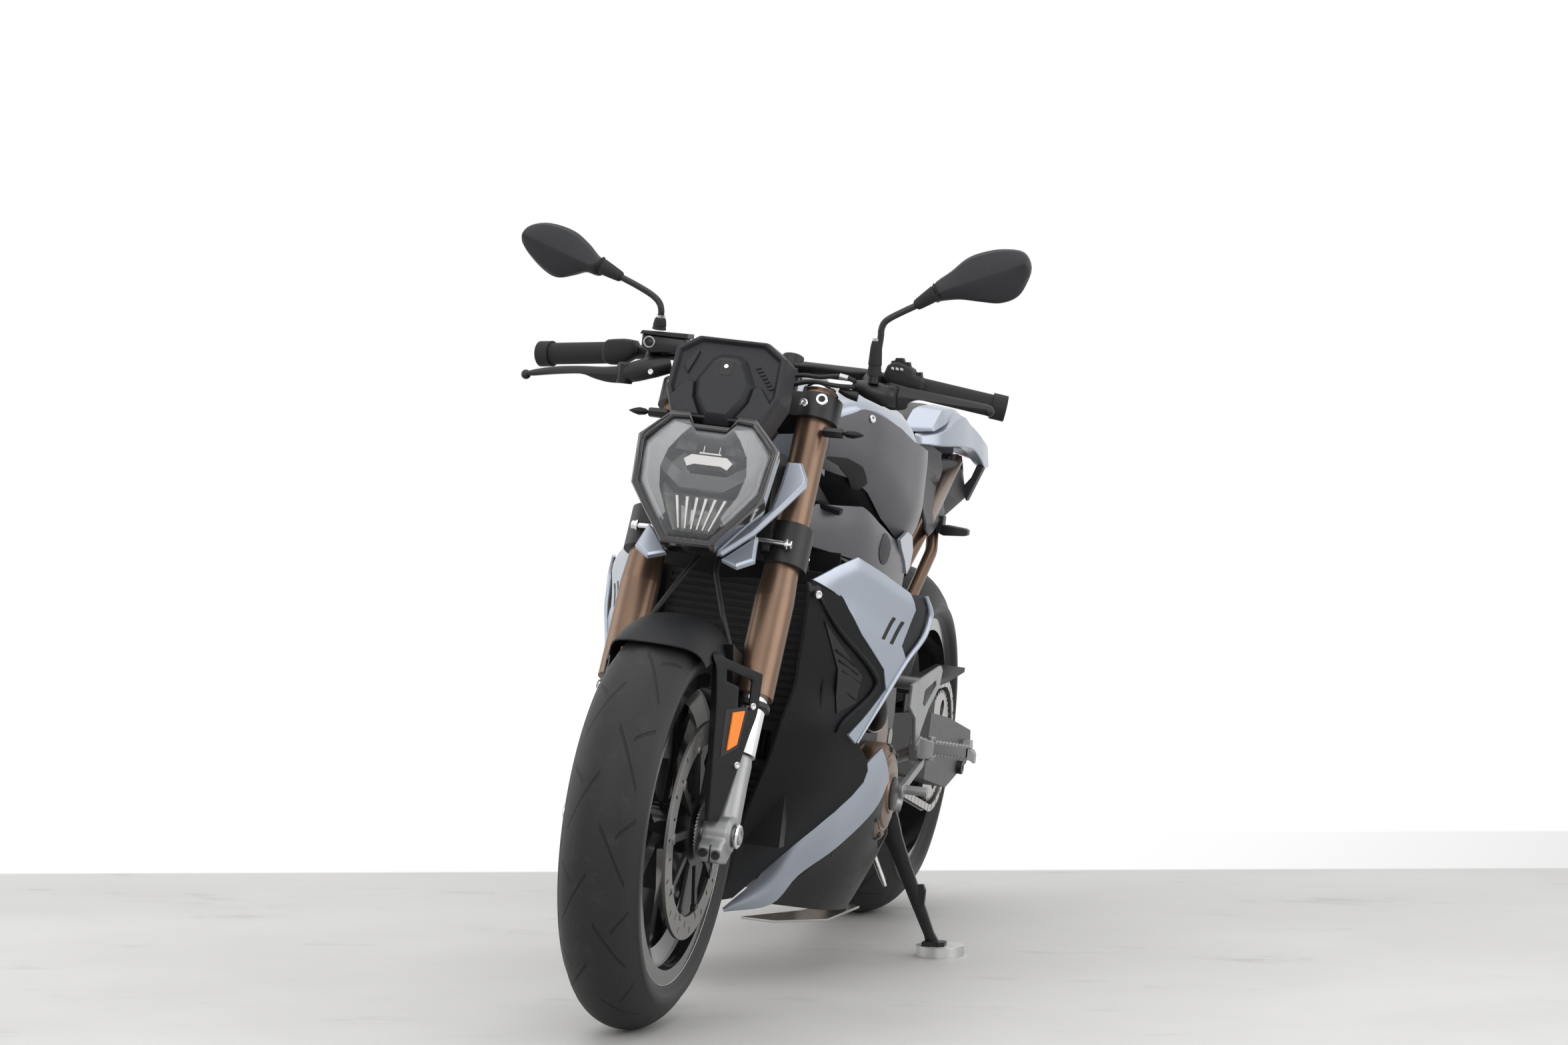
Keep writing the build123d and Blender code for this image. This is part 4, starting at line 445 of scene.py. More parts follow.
floorMesh = bpy.data.meshes.new("floor")
half = studio["floorSize"] / 2
floorMesh.from_pydata([(-half, -half, 0), (half, -half, 0), (half, half, 0), (-half, half, 0)], [], [(0, 1, 2, 3)])
floor = bpy.data.objects.new("floor", floorMesh)
floorMesh.materials.append(floorFinish())
scene.collection.objects.link(floor)

for label, spot, aim, wide, deep, power in studio["lamps"]:
    lampData = bpy.data.lights.new(label, "AREA")
    lampData.shape, lampData.size, lampData.size_y, lampData.energy = "RECTANGLE", wide, deep, power
    lamp = bpy.data.objects.new(label, lampData)
    lamp.location = spot
    lamp.rotation_mode = "QUATERNION"
    lamp.rotation_quaternion = (Vector(aim) - Vector(spot)).to_track_quat("-Z", "Y")
    scene.collection.objects.link(lamp)

# The air is white where it is seen or mirrored, and dimmer where it lights.
scene.world = bpy.data.worlds.new("studioAir")
air = Board(scene.world)
straight, mirrored, through = (air.node("ShaderNodeLightPath", out=f"Is {kind} Ray")
                               for kind in ("Camera", "Glossy", "Transmission"))
strength = air.node("ShaderNodeMapRange", {}, {"Value": straight.sum("MAXIMUM", mirrored).sum("MAXIMUM", through),
                                               "To Min": studio["ambient"], "To Max": 1.0})
glow = air.node("ShaderNodeBackground", {}, {"Color": (1.0, 1.0, 1.0, 1.0), "Strength": strength})
air.node("ShaderNodeOutputWorld", {}, {"Surface": glow})
scene.view_settings.view_transform = "Standard"
print("studio ready")


# Making shapes, in the motorcycle's own millimetres.
def mesh(rows, ring=False, capped=False):
    shape = bmesh.new()
    made = [[shape.verts.new(point) for point in row] for row in rows]
    count = len(rows[0])
    for low, high in zip(made, made[1:]):
        for k in range(count if ring else count - 1):
            shape.faces.new((low[k], low[(k + 1) % count], high[(k + 1) % count], high[k]))
    if capped:
        shape.faces.new(list(reversed(made[0])))
        shape.faces.new(made[-1])
    return shape


def closed(rows):
    return mesh(rows, ring=True, capped=True)


# A smooth curve from b to c, led by a before and d after.
def blended(a, b, c, d, t):
    return (b * 2 + (c - a) * t + (a * 2 - b * 5 + c * 4 - d) * t * t + (b * 3 - a - c * 3 + d) * t ** 3) / 2


def smoothLine(points, steps=6):
    points = [Vector(point) for point in points]
    ends = [points[0] * 2 - points[1], *points, points[-1] * 2 - points[-2]]
    line = [blended(*ends[k:k + 4], step / steps) for k in range(len(points) - 1) for step in range(steps)]
    return [*line, points[-1]]


def smoothRing(points, steps=4):
    points = [Vector(point) for point in points]
    count = len(points)
    return [blended(*(points[(k + j) % count] for j in (-1, 0, 1, 2)), step / steps)
            for k in range(count) for step in range(steps)]


def value(table, t):
    if t <= table[0][0]:
        return table[0][1]
    for (t0, v0), (t1, v1) in zip(table, table[1:]):
        if t <= t1:
            part = (t - t0) / (t1 - t0)
            if len(table) == 2:
                part *= part * (3 - 2 * part)
            return v0 + (v1 - v0) * part
    return table[-1][1]


def smoothValue(table, t):
    if t <= table[0][0]:
        return table[0][1]
    for k in range(len(table) - 1):
        (t0, v0), (t1, v1) = table[k], table[k + 1]
        if t <= t1:
            before, after = table[max(k - 1, 0)], table[min(k + 2, len(table) - 1)]
            slope0 = (v1 - before[1]) / (t1 - before[0])
            slope1 = (after[1] - v0) / (after[0] - t0)
            part, span = (t - t0) / (t1 - t0), t1 - t0
            return (v0 * (1 + 2 * part) * (1 - part) ** 2 + slope0 * span * part * (1 - part) ** 2
                    + v1 * part * part * (3 - 2 * part) - slope1 * span * part * part * (1 - part))
    return table[-1][1]


# Each value that a table gives at one place along it.
def tracked(table, spot, curve=value):
    return [curve([(start, places[k]) for start, places in table], spot) for k in range(len(table[0][1]))]


def tube(points, radius, sides=14, steps=6, smooth=True, capped=True):
    line = smoothLine(points, steps) if smooth else [Vector(point) for point in points]
    if isinstance(radius, (int, float)):
        radii = [radius] * len(line)
    else:
        table = [(k / (len(radius) - 1), size) for k, size in enumerate(radius)]
        radii = [value(table, k / (len(line) - 1)) for k in range(len(line))]
    rows, side = [], None
    for k, (here, size) in enumerate(zip(line, radii)):
        run = (line[min(k + 1, len(line) - 1)] - line[max(k - 1, 0)]).normalized()
        if side is None:
            side = run.orthogonal().normalized()
        side = (side - run * side.dot(run)).normalized()
        other = run.cross(side)
        rows.append([here + (side * math.cos(turn) + other * math.sin(turn)) * size
                     for turn in (math.tau * j / sides for j in range(sides))])
    return mesh(rows, ring=True, capped=capped)


def turned(profile, middle, axis, sides=48, capped=True):
    middle, axis = Vector(middle), Vector(axis).normalized()
    side = axis.orthogonal().normalized()
    other = axis.cross(side)
    rows = [[middle + axis * reach + (side * math.cos(turn) + other * math.sin(turn)) * max(size, 0.01)
             for turn in (math.tau * j / sides for j in range(sides))] for size, reach in profile]
    return mesh(rows, ring=True, capped=capped)


# A flat outline made into a plate between two depths. The last value says how the outline lies.
def plate(outline, low, high, spot):
    return closed([[spot(u, v, deep) for u, v in outline] for deep in (low, high)])


# Seen from the side, from the front, from above, and on the lamp's face.
def sideways(u, v, deep):
    return Vector((deep, u, v))


def frontal(u, v, deep):
    return Vector((u, deep, v))


def fromAbove(u, v, deep):
    return Vector((u, v, deep))


def onFace(u, v, deep):
    return onSteer(u, 195 + deep, 465 + v)


# An outline seen from the side, cut into a grid and bent to the reach given at each place.
def bent(outline, reach, step=14.0):
    shape = bmesh.new()
    shape.faces.new([shape.verts.new((0, u, v)) for u, v in outline])
    for way, start, stop in ((1, min(u for u, v in outline), max(u for u, v in outline)),
                             (2, min(v for u, v in outline), max(v for u, v in outline))):
        cut = start + step
        while cut < stop - step / 3:
            normal = Vector((0, way == 1, way == 2))
            bmesh.ops.bisect_plane(shape, geom=[*shape.verts, *shape.edges, *shape.faces], dist=0.01,
                                   plane_co=normal * cut, plane_no=normal)
            cut += step
    for vert in shape.verts:
        vert.co.x = reach(vert.co.y, vert.co.z)
    return shape


# The shape and its mirror image across the motorcycle's middle.
def both(shape):
    copy = shape.copy()
    bmesh.ops.scale(copy, vec=(-1, 1, 1), verts=copy.verts)
    bmesh.ops.reverse_faces(copy, faces=copy.faces)
    return joined(shape, copy)


def joined(*shapes):
    whole = bmesh.new()
    for shape in shapes:
        part = bpy.data.meshes.new("part")
        shape.to_mesh(part)
        shape.free()
        whole.from_mesh(part)
        bpy.data.meshes.remove(part)
    return whole


# A visible piece: its shape, what it wears, the body it rides on and the CAD nodes that it replaces.
def piece(name, shape, finish, body, stands=(), edge=0.0, segments=2, levels=0, wall=0.0, outward=-1.0,
          crease=38.0, slot=None, inside=True):
    if inside:
        bmesh.ops.recalc_face_normals(shape, faces=shape.faces)
    data = bpy.data.meshes.new(name)
    shape.to_mesh(data)
    shape.free()
    data.transform(toRow)
    for face in data.polygons:
        face.use_smooth = True
    data.set_sharp_from_angle(angle=math.radians(crease))
    data.materials.append(finishes[finish])
    made = bpy.data.objects.new(name, data)
    scene.collection.objects.link(made)
    if wall:
        skin = made.modifiers.new("wall", "SOLIDIFY")
        skin.thickness, skin.offset = wall / 1000, outward
        skin.use_even_offset = True
    if edge:
        rim = made.modifiers.new("edge", "BEVEL")
        rim.width, rim.segments, rim.limit_method = edge / 1000, segments, "ANGLE"
        rim.angle_limit = math.radians(crease)
        rim.harden_normals = levels == 0
    if levels:
        fine = made.modifiers.new("fine", "SUBSURF")
        fine.levels = fine.render_levels = levels
    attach(made, body)
    if stands:
        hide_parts(*stands)
    return made


def screw(place, way, size, height):
    return turned([(size, 0), (size, height * 0.7), (size * 0.85, height), (size * 0.5, height),
                   (size * 0.5, height * 0.35)], place, way, sides=20)


# Tyres.
tyreSizes = {
    "frontTyre": {"axle": frontAxle, "radius": 300.0, "crown": 60.0, "half": 56.0, "bulge": (60.0, 250.0),
                  "bead": 50.5, "rim": 44.5, "stands": "front_tyre", "body": "front_wheel"},
    "rearTyre": {"axle": rearAxle, "radius": 320.0, "crown": 96.0, "half": 90.0, "bulge": (95.0, 248.0),
                 "bead": 82.0, "rim": 76.0, "stands": "rear_tyre", "body": "rear_wheel"},
}
tyreCommon = {"seat": 229.0, "repeats": 13, "sides": 144, "steps": 9}


def treadFinish():
    board = Board("treadRubber")
    uv = board.place("UV")
    turnAt, width = board.axis(uv, 0), board.axis(uv, 1)
    out = abs(width)
    shift = (width > 0.0) * 0.5
    longCut = abs((turnAt + shift + out * 0.55 + out * out * 0.35) % 1.0 - 0.5)
    longMask = (1.0 - longCut.within(0.022, 0.034)) * (out > 0.10) * (out < 0.80)
    shortCut = abs((turnAt + shift + 0.42 - out * 0.5) % 1.0 - 0.5)
    shortMask = (1.0 - shortCut.within(0.016, 0.026)) * (out > 0.52) * (out < 0.9)
    ribs = abs((turnAt * 26.0) % 1.0 - 0.5) * (out > 1.28) * (out < 1.42)
    cut = longMask.sum("MAXIMUM", shortMask)
    broad = board.noise(9.0, 4.0)
    fine = board.noise(500.0, 3.0)
    scuff = board.noise(30.0, 6.0, 0.7).within(0.5, 0.75)
    tone = board.mix(broad, (0.008, 0.008, 0.0086), (0.017, 0.017, 0.0175))
    worn = scuff * (1.0 - out.within(0.6, 1.0)) * 0.35
    tone = board.mix(worn, tone, (0.055, 0.052, 0.050))
    # The grooves are cut only in the bump and darkened in colour: painted shade in the grooves.
    tone = board.mix(cut, tone, (0.0025, 0.0025, 0.0025))
    rough = 0.6 - out.within(0.85, 1.1) * 0.12 + worn * 0.2
    normal = board.bump(ribs, 0.0006, 0.6, board.bump(1.0 - cut, 0.003, 1.0, board.bump(fine, 0.0002, 0.5)))
    return board.done(board.surface(Base_Color=tone, Roughness=rough, Normal=normal, Specular_IOR_Level=0.35))


finishes["tread"] = treadFinish()


# A tyre's UV runs round it in pitches of the tread, and across it from -1 to 1 over the tread.
def tyreShape(sizes):
    crown, half, radius = sizes["crown"], sizes["half"], sizes["radius"]
    bulgeHalf, bulgeRadius = sizes["bulge"]
    seat, repeats, sides, steps = tyreCommon.values()
    tread = [(half * k / steps, radius - crown + math.sqrt(crown ** 2 - (half * k / steps) ** 2))
             for k in range(steps + 1)]
    edge = tread[-1]
    side = smoothLine([edge, (bulgeHalf, (edge[1] + bulgeRadius) / 2), (bulgeHalf - 1, bulgeRadius - 6),
                       (sizes["bead"] + 1.5, seat + 4)], 4)[1:]
    wall = [(x, size, 1 + 0.5 * (k + 1) / len(side)) for k, (x, size) in enumerate(side)]
    outside = [(x, size, x / half) for x, size in tread] + wall
    outside += [(sizes["bead"], seat - 1, 1.55), (sizes["rim"], seat - 3, 1.6)]
    profile = [(-x, size, -v) for x, size, v in reversed(outside)] + outside[1:]
    shape = bmesh.new()
    uv = shape.loops.layers.uv.new("tread")
    rows = [[shape.verts.new(sizes["axle"] + Vector((x, size * math.sin(turn), size * math.cos(turn))))
             for x, size, v in profile] for turn in (math.tau * k / sides for k in range(sides))]
    for k in range(sides):
        for j in range(len(profile) - 1):
            face = shape.faces.new((rows[k][j], rows[(k + 1) % sides][j], rows[(k + 1) % sides][j + 1],
                                    rows[k][j + 1]))
            for loop, (turns, spot) in zip(face.loops, ((k, j), (k + 1, j), (k + 1, j + 1), (k, j + 1))):
                loop[uv].uv = (turns / sides * repeats, profile[spot][2])
    return shape


for name, sizes in tyreSizes.items():
    piece(name, tyreShape(sizes), "tread", sizes["body"], [sizes["stands"]], crease=80.0, slot="tyre")
print("tyres made")

# A bright metal line on the rim's edges, a painted highlight, and the toothed sensor ring.
wheelTrim = {"edgeHalf": 49.5, "edgeRadius": 229.2, "edgeWire": 1.5, "sensorTip": 44.0, "sensorRoot": 39.0,
             "sensorTeeth": 48}


def rimHighlightShape():
    shapes = []
    for side in (1, -1):
        ring = [frontAxle + Vector((side * wheelTrim["edgeHalf"], wheelTrim["edgeRadius"] * math.sin(turn),
                                    wheelTrim["edgeRadius"] * math.cos(turn)))
                for turn in (math.tau * k / 96 for k in range(97))]
        shapes.append(tube(ring, wheelTrim["edgeWire"], sides=6, smooth=False, capped=False))
    return joined(*shapes)


piece("rimEdge", rimHighlightShape(), "bright", "front_wheel", crease=80.0)


def sensorShape():
    outline, tip, root = [], wheelTrim["sensorTip"], wheelTrim["sensorRoot"]
    for tooth in range(wheelTrim["sensorTeeth"]):
        for part, size in ((0.0, tip), (0.5, tip), (0.5, root), (1.0, root)):
            turn = math.tau * (tooth + part) / wheelTrim["sensorTeeth"]
            outline.append((size * math.sin(turn), size * math.cos(turn)))
    return plate(outline, 74.5, 76.5, lambda u, v, deep: frontAxle + Vector((deep, u, v)))


piece("sensorRing", sensorShape(), "steel", "front_wheel")

# Front mudguard with its ears.
fenderShape = {
    "crown": 309.5, "half": 74, "front": 27, "sideFront": 17, "rear": 58, "sideRear": 46, "turns": 30,
    "drop": [(0, 0.0), (26, 1.8), (46, 9.5), (60, 22), (69, 38), (74, 56)],
}


def fenderPoint(x, turn):
    radius = fenderShape["crown"] - smoothValue(fenderShape["drop"], abs(x))
    return Vector((x, frontAxle.y - radius * math.sin(turn), frontAxle.z + radius * math.cos(turn)))


fenderRows = []
for k in range(fenderShape["turns"] + 1):
    ring = []
    for j in range(-12, 13):
        x = fenderShape["half"] * math.sin(j / 12 * math.pi / 2)
        drawn = (abs(x) / fenderShape["half"]) ** 3
        lead = fenderShape["front"] - (fenderShape["front"] - fenderShape["sideFront"]) * drawn
        trail = fenderShape["rear"] - (fenderShape["rear"] - fenderShape["sideRear"]) * drawn
        turn = math.radians(lead - (lead + trail) * k / fenderShape["turns"])
        ring.append(fenderPoint(x, turn))
    fenderRows.append(ring)
guard = mesh(fenderRows)

earShape = {
    "heights": [566, 551, 534, 516, 498, 482, 450, 420, 385, 350, 322],
    "columns": [0.0, 0.12, 0.3, 0.56, 0.82, 1.0],
    "open": [(1, 2), (1, 3), (2, 3), (3, 3)],
    "front": [(322, (88, -768)), (400, (82, -764)), (490, (74, -752)), (566, (70, -752))],
    "ridge": [(322, (93, -768)), (400, (90, -766)), (490, (84, -758)), (566, (78, -764))],
    "back": [(322, (101, -742)), (400, (114, -708)), (490, (121, -664)), (566, (118, -646))],
}


# A place on the ear, by its share from front to back, its height and how far it stands proud.
def earPoint(part, up, proud=0.0):
    front, ridge, back = (Vector((*tracked(earShape[way], up), 0)) for way in ("front", "ridge", "back"))
    start, stop, share = (front, ridge, part / 0.12) if part < 0.12 else (ridge, back, (part - 0.12) / 0.88)
    run = (stop - start).normalized()
    slope = 34 * part * max(0.0, min(1.0, (up - 440) / 90))
    return start + (stop - start) * share + Vector((-run.y, run.x, 0)) * -proud + Vector((0, 0, up - slope))


earSheet = bmesh.new()
earGrid = [[earSheet.verts.new(earPoint(part, up)) for part in earShape["columns"]] for up in earShape["heights"]]
for k in range(len(earGrid) - 1):
    for j in range(len(earShape["columns"]) - 1):
        if (k, j) not in earShape["open"]:
            earSheet.faces.new((earGrid[k][j], earGrid[k][j + 1], earGrid[k + 1][j + 1], earGrid[k + 1][j]))
piece("fenderArch", guard, "cowl", "steering", ["front_fender"], wall=3.0, edge=1.2, slot="dark_plastic")
piece("fenderEars", both(earSheet), "cowl", "steering", wall=4.5, outward=0.0, edge=1.6, segments=3, levels=1,
      crease=50.0, inside=False)
stays = [plate([(-700, 575), (-640, 556), (-606, 548), (-606, 500), (-650, 492), (-680, 520)], side * 70, side * 84,
               sideways) for side in (1, -1)]
piece("fenderStays", joined(*stays), "black", "steering", edge=1.5)
# The amber reflectors wear the amber lens with its painted glow.
amber = plate([(0.44, 486), (0.68, 494), (0.68, 432), (0.44, 424)], 2.0, 6.0, earPoint)
piece("earReflectors", both(amber), "amber", "steering", ["front_reflectors"], edge=0.8, slot="amber_lens")
bed = plate([(0.30, 488), (0.78, 505), (0.78, 427), (0.30, 413)], 0.5, 3.1, earPoint)
piece("reflectorBeds", both(bed), "black", "steering", edge=0.8)
earBolts = [screw(earPoint(0.86, up, 2.0), (0.8, -0.55, 0.1), 5.5, 3.6) for up in (508, 402)]
piece("earBolts", both(joined(*earBolts)), "bright", "steering")


# Several closed shapes melted into one casting.
def fused(name, shape, finish, body, stands=(), voxel=2.2, rounds=6, slot=None):
    made = piece(name, shape, finish, body, stands, slot=slot, crease=80.0)
    blend = made.modifiers.new("blend", "REMESH")
    blend.mode, blend.voxel_size, blend.use_smooth_shade = "VOXEL", voxel / 1000, True
    ease = made.modifiers.new("ease", "SMOOTH")
    ease.factor, ease.iterations = 0.5, rounds
    return made


legLine = {"x": 104.5, "forward": 29.2}


def onLeg(height, out=0.0, forward=0.0):
    return onSteer(legLine["x"] + out, legLine["forward"] + forward, height)


# The castings at the fork's feet.
footSpot = (frontAxle.y, frontAxle.z)
foot = joined(
    turned([(20, -22), (23, 4), (22, 40), (20.5, 84), (20.5, 110), (18.5, 122), (17, 124)], onLeg(0), steerUp, 32),
    turned([(24, -24), (27, -20), (27, 14), (24, 19)], (legLine["x"], *footSpot), (1, 0, 0), 36),
    plate([(-764, 262), (-766, 284), (-748, 300), (-728, 326), (-700, 318), (-704, 270), (-728, 258)], 82, 118,
          sideways),
    plate([(-702, 312), (-650, 336), (-612, 384), (-618, 420), (-640, 424), (-668, 380), (-712, 340)], 84, 104,
          sideways))
fused("forkCastings", both(foot), "cast", "steering", ["fork_feet"], voxel=2.4, rounds=5, slot="cast_silver")
pinch = [turned([(6.5, 0), (6.5, 3.4), (5.6, 4.6), (3.4, 4.6), (3.2, 1.2)], (x, -765.5, z), (0, -1, 0.12), 20)
         for x, z in ((91, 276), (110, 274))]
piece("pinchBolts", both(joined(*pinch)), "black", "steering")
# A thin black slab stands for each clamp's slit: painted shade in the gap.
slitShade = plate([(100, 262), (101.6, 262), (101.6, 288), (100, 288)], -768, -740, frontal)
piece("pinchSlits", both(slitShade), "black", "steering")
axleRing = turned([(12.6, -4), (18, -3), (18.5, 0), (16, 2.4), (12.6, 2.4)], (130, *footSpot), (1, 0, 0), 40)
piece("axleRings", both(axleRing), "bright", "steering", edge=0.4)
piece("legSeals", both(turned([(27.5, 0), (28.5, 2), (28.5, 8), (25.5, 10), (21, 10)], onLeg(205), -steerUp, 40)),
      "black", "steering")

# Clamps, caps and bolts.
capRing = joined(turned([(27.5, 0), (27.5, 3.5), (26.3, 5.0), (21, 5.4), (20.4, 3.4), (15, 3.4)],
                        onLeg(711), steerUp, 48))
piece("legCaps", both(capRing), "bright", "steering")
adjuster = joined(turned([(15, 0), (15, 4.2), (14, 5.2), (8, 5.2), (7.6, 3.0), (0.2, 3.0)], onLeg(711), steerUp, 6),
                  turned([(6, 3), (6, 7), (5, 8)], onLeg(711), steerUp, 20))
piece("legAdjusters", both(adjuster), "bronze", "steering", edge=0.4)
clampScrew = joined(turned([(9.5, 0), (9.5, 3.6), (8.4, 4.8), (5.4, 4.8), (5.0, 1.0), (0.2, 1.0)],
                           onLeg(688, 12, 31), steerOut + Vector((0.15, 0, 0)), 28))
piece("clampScrews", both(clampScrew), "bright", "steering")
longBolt = joined(tube([onLeg(446, -40, 46), onLeg(444, 10, 46)], 4.2, sides=16, smooth=False),
                  turned([(8.4, 0), (8.4, 3), (6.6, 3.6), (6.6, 9), (5.4, 10)], onLeg(444, 10, 46), (1, 0, 0), 24),
                  turned([(7, 0), (7, 8)], onLeg(446, -44, 46), (1, 0, 0), 6))
piece("clampBolts", both(longBolt), "bright", "steering")
clampLugs = joined(*[plate([(-8, -15), (8, -15), (10, -10), (10, 10), (8, 15), (-8, 15)], low, high,
                           lambda u, v, deep: onLeg(446 + v, deep, 34 + u)) for low, high in ((-60, -48), (-26, -14))])
piece("clampLugs", both(clampLugs), "black", "steering", edge=1.2)
print("fork made")

# Headlight.
lampShape = {
    "lens": [(24, 92), (37, 108.5), (61, 106.5), (80, 86), (95, 66), (95, 36), (90.5, 3), (67, -32), (50, -55),
             (32, -79)],
    "crown": [(1.0, 1.0), (0.985, 6.0), (0.93, 10.0), (0.78, 13.0), (0.5, 14.5), (0.2, 15.0)],
    "middle": 12.0,
    "guide": [(60, 100), (72, 90), (89, 62), (86, 34), (83, 6), (60, -30), (44, -52)],
    "accent": [(28, 61), (39, 52), (32, 40), (21, 45)],
    "beak": [(36, 29), (78, 58), (76, 34), (62, 22), (37, 3)],
    "lower": [(56, -3), (49, -26), (31, -61)],
    "ribs": [-36, -20, -5, 9, 23, 38],
}


def mirroredOutline(half):
    return half + [(-u, v) for u, v in reversed(half)]


def shrunk(outline, share, middle=(0.0, 0.0)):
    return [(middle[0] + (u - middle[0]) * share, middle[1] + (v - middle[1]) * share) for u, v in outline]


def flat(outline, low, high):
    return plate(outline, low, high, onFace)


# Outlines on the lamp's face, each smaller or larger than the first by its share about a middle.
def faceRows(outline, middle, *steps):
    return [[onFace(u, v, deep) for u, v in shrunk(outline, share, middle)] for share, deep in steps]


lensRing = mirroredOutline(lampShape["lens"])
lens = mesh(faceRows(lensRing, (0.0, lampShape["middle"]), *lampShape["crown"]), ring=True)
lens.faces.new(list(lens.verts)[-len(lensRing):])


def lensCover():
    board = Board("lensCover")
    # The lens is a faint whitish veil with patchy haze; its whiteness growing towards glancing angles is painted
    # reflection.
    edge = board.node("ShaderNodeLayerWeight", {}, {"Blend": 0.28}, 1)
    haze = board.noise(22.0, 3.0)
    seen = 0.07 + edge * 0.30 + haze * 0.03
    return board.done(board.surface(Base_Color=(0.80, 0.83, 0.86), Roughness=0.03 + haze * 0.03, Alpha=seen,
                                    IOR=1.5, Coat_Weight=0.3 + edge * 0.5))


finishes["lens"] = lensCover()
piece("lampLens", lens, "lens", "steering", ["headlight_lens"], crease=60.0, slot="clear_lens")

bezelOuter = mirroredOutline([(28, 99), (37.5, 116), (65, 116), (106, 74), (100.5, -4), (75, -40), (37, -90)])
bezelInner = mirroredOutline([(25, 93.5), (37.5, 110.5), (62, 108.5), (97.5, 67), (92.5, 2), (68, -33), (33, -81)])
rim = mesh([[onFace(u, v, 9.2) for u, v in bezelOuter], [onFace(u, v, 10.6) for u, v in shrunk(bezelOuter, 0.985)],
            [onFace(u, v, 10.6) for u, v in shrunk(bezelInner, 1.015)], [onFace(u, v, 9.2) for u, v in bezelInner]],
           ring=True)
piece("lampRim", rim, "gloss", "steering", crease=25.0)
lines = []
for inset in (0.955, 1.0):
    path = [onFace(u * inset, v * inset, 11.6) for u, v in ((66, 110), (84, 92), (101, 70), (99, 40), (96, 6))]
    lines.append(both(tube(path, [0.5, 1.2, 1.2, 0.4], sides=8, steps=3)))
piece("lampLines", joined(*lines), "gloss", "steering")
guide = both(tube([onFace(u, v, -3) for u, v in lampShape["guide"]], 2.6, sides=12, steps=4))


def milky():
    board = Board("lightGuide")
    soft = board.noise(60.0, 2.0)
    return board.done(board.surface(Base_Color=board.mix(soft, (0.10, 0.105, 0.115), (0.16, 0.165, 0.18)),
                                    Roughness=0.25 + soft * 0.1))


# A whitish see-through pane on each side of the lamp, more opaque towards its top: painted reflection.
def hazy():
    board = Board("hazyPane")
    reflectionRise = board.axis(board.place("Generated"), 2)
    soft = board.noise(9.0, 3.0)
    return board.done(board.surface(Base_Color=(0.82, 0.83, 0.85), Roughness=0.22 + soft * 0.1,
                                    Alpha=0.06 + reflectionRise * 0.16 + soft * 0.10))


finishes["hazy"] = hazy()
# The outline of the painted reflection panes.
pane = [(32, 100), (60, 104), (79, 85), (93, 65), (93, 37), (88, 4), (66, -30), (50, -52), (42, -40), (60, -2),
        (66, 30), (60, 60), (44, 86)]
piece("lampPanes", both(flat(pane, 0.0, 1.2)), "hazy", "steering")
finishes["milky"] = milky()
piece("lampGuides", guide, "milky", "steering")

shelf = closed(faceRows(mirroredOutline(lampShape["accent"]), (0, 52), (1, -30), (0.97, -12)))
piece("lampAccent", shelf, "brushed", "steering", ["headlight_insert"], edge=0.8)
beak = closed(faceRows(mirroredOutline(lampShape["beak"]), (0, 24), (1, -34), (1, -14), (0.9, -9)))
piece("lampBeak", beak, "gloss", "steering", edge=0.8)
wells = []
for side in (1, -1):
    ring = [(side * u, v) for u, v in ((20, 97), (50, 100), (54, 67), (23, 65))]
    wells.append(mesh(faceRows(ring, (side * 37, 82), (0.98, -14), (0.92, -16), (0.55, -32), (0.3, -38)), ring=True))
lowerRing = mirroredOutline(lampShape["lower"])
wells.append(mesh(faceRows(lowerRing, (0, -24), (0.98, -16), (0.72, -34), (0.4, -42), (0.1, -43)), ring=True))
piece("lampReflectors", joined(*wells), "brushed", "steering", crease=25.0)
ribs = [flat([(x - 2.4, -5), (x + 2.4, -5), (x * 0.62 + 0.5, -56), (x * 0.62 - 2.0, -56)], -40, -17)
        for x in lampShape["ribs"]]
ribs += [flat([(x - 1, 66), (x + 1, 66), (x + 1, 92), (x - 1, 92)], -40, -20) for x in (-12, 12)]
ribs.append(flat([(-17, 64), (17, 64), (17, 67), (-17, 67)], -40, -16))
piece("lampRibs", joined(*ribs), "brushed", "steering", edge=0.5)
bulbs = [turned([(12, -34), (12, -26), (10.5, -21), (6, -18), (0.5, -17)], onFace(side * 37, 82, 0), steerOut, 28)
         for side in (1, -1)]
piece("lampProjectors", joined(*bulbs), "clear", "steering", crease=80.0)
back = flat(mirroredOutline([(20, 88), (60, 100), (86, 60), (80, 4), (56, -32), (28, -72)]), -45.5, -44)
piece("lampFloor", back, "gloss", "steering")
print("lamp made")

# Display cover.
coverShape = {
    "outer": [(54, 249), (86, 226), (88, 160), (70, 113)],
    "rear": [(54, 266), (84, 242), (88, 170), (66, 116)],
    "hexagon": [(13, 218), (24, 211), (42, 176), (38, 148), (17, 114)],
    "wing": [(44, 176), (58, 176), (83, 144), (66, 115), (22, 115), (40, 147)],
}
outer = mirroredOutline(coverShape["outer"])
rear = mirroredOutline(coverShape["rear"])
shell = closed([[onFace(u, v, -74.5) for u, v in rear],
                *faceRows(outer, (0, 180), (1, -10), (0.965, -1.0), (0.91, -1.0), (0.86, -9.0))])
piece("displayCover", shell, "dark", "steering", ["display"], edge=2.2, crease=20.0, slot="dark_plastic")
stay = joined(flat([(-29, 201), (29, 201), (29, 221), (-29, 221)], -138, -74),
              flat([(-60, 128), (60, 128), (70, 150), (-70, 150)], -110, -74))
piece("displayStay", stay, "black", "steering", edge=2.0)
hexagon = mirroredOutline(coverShape["hexagon"])
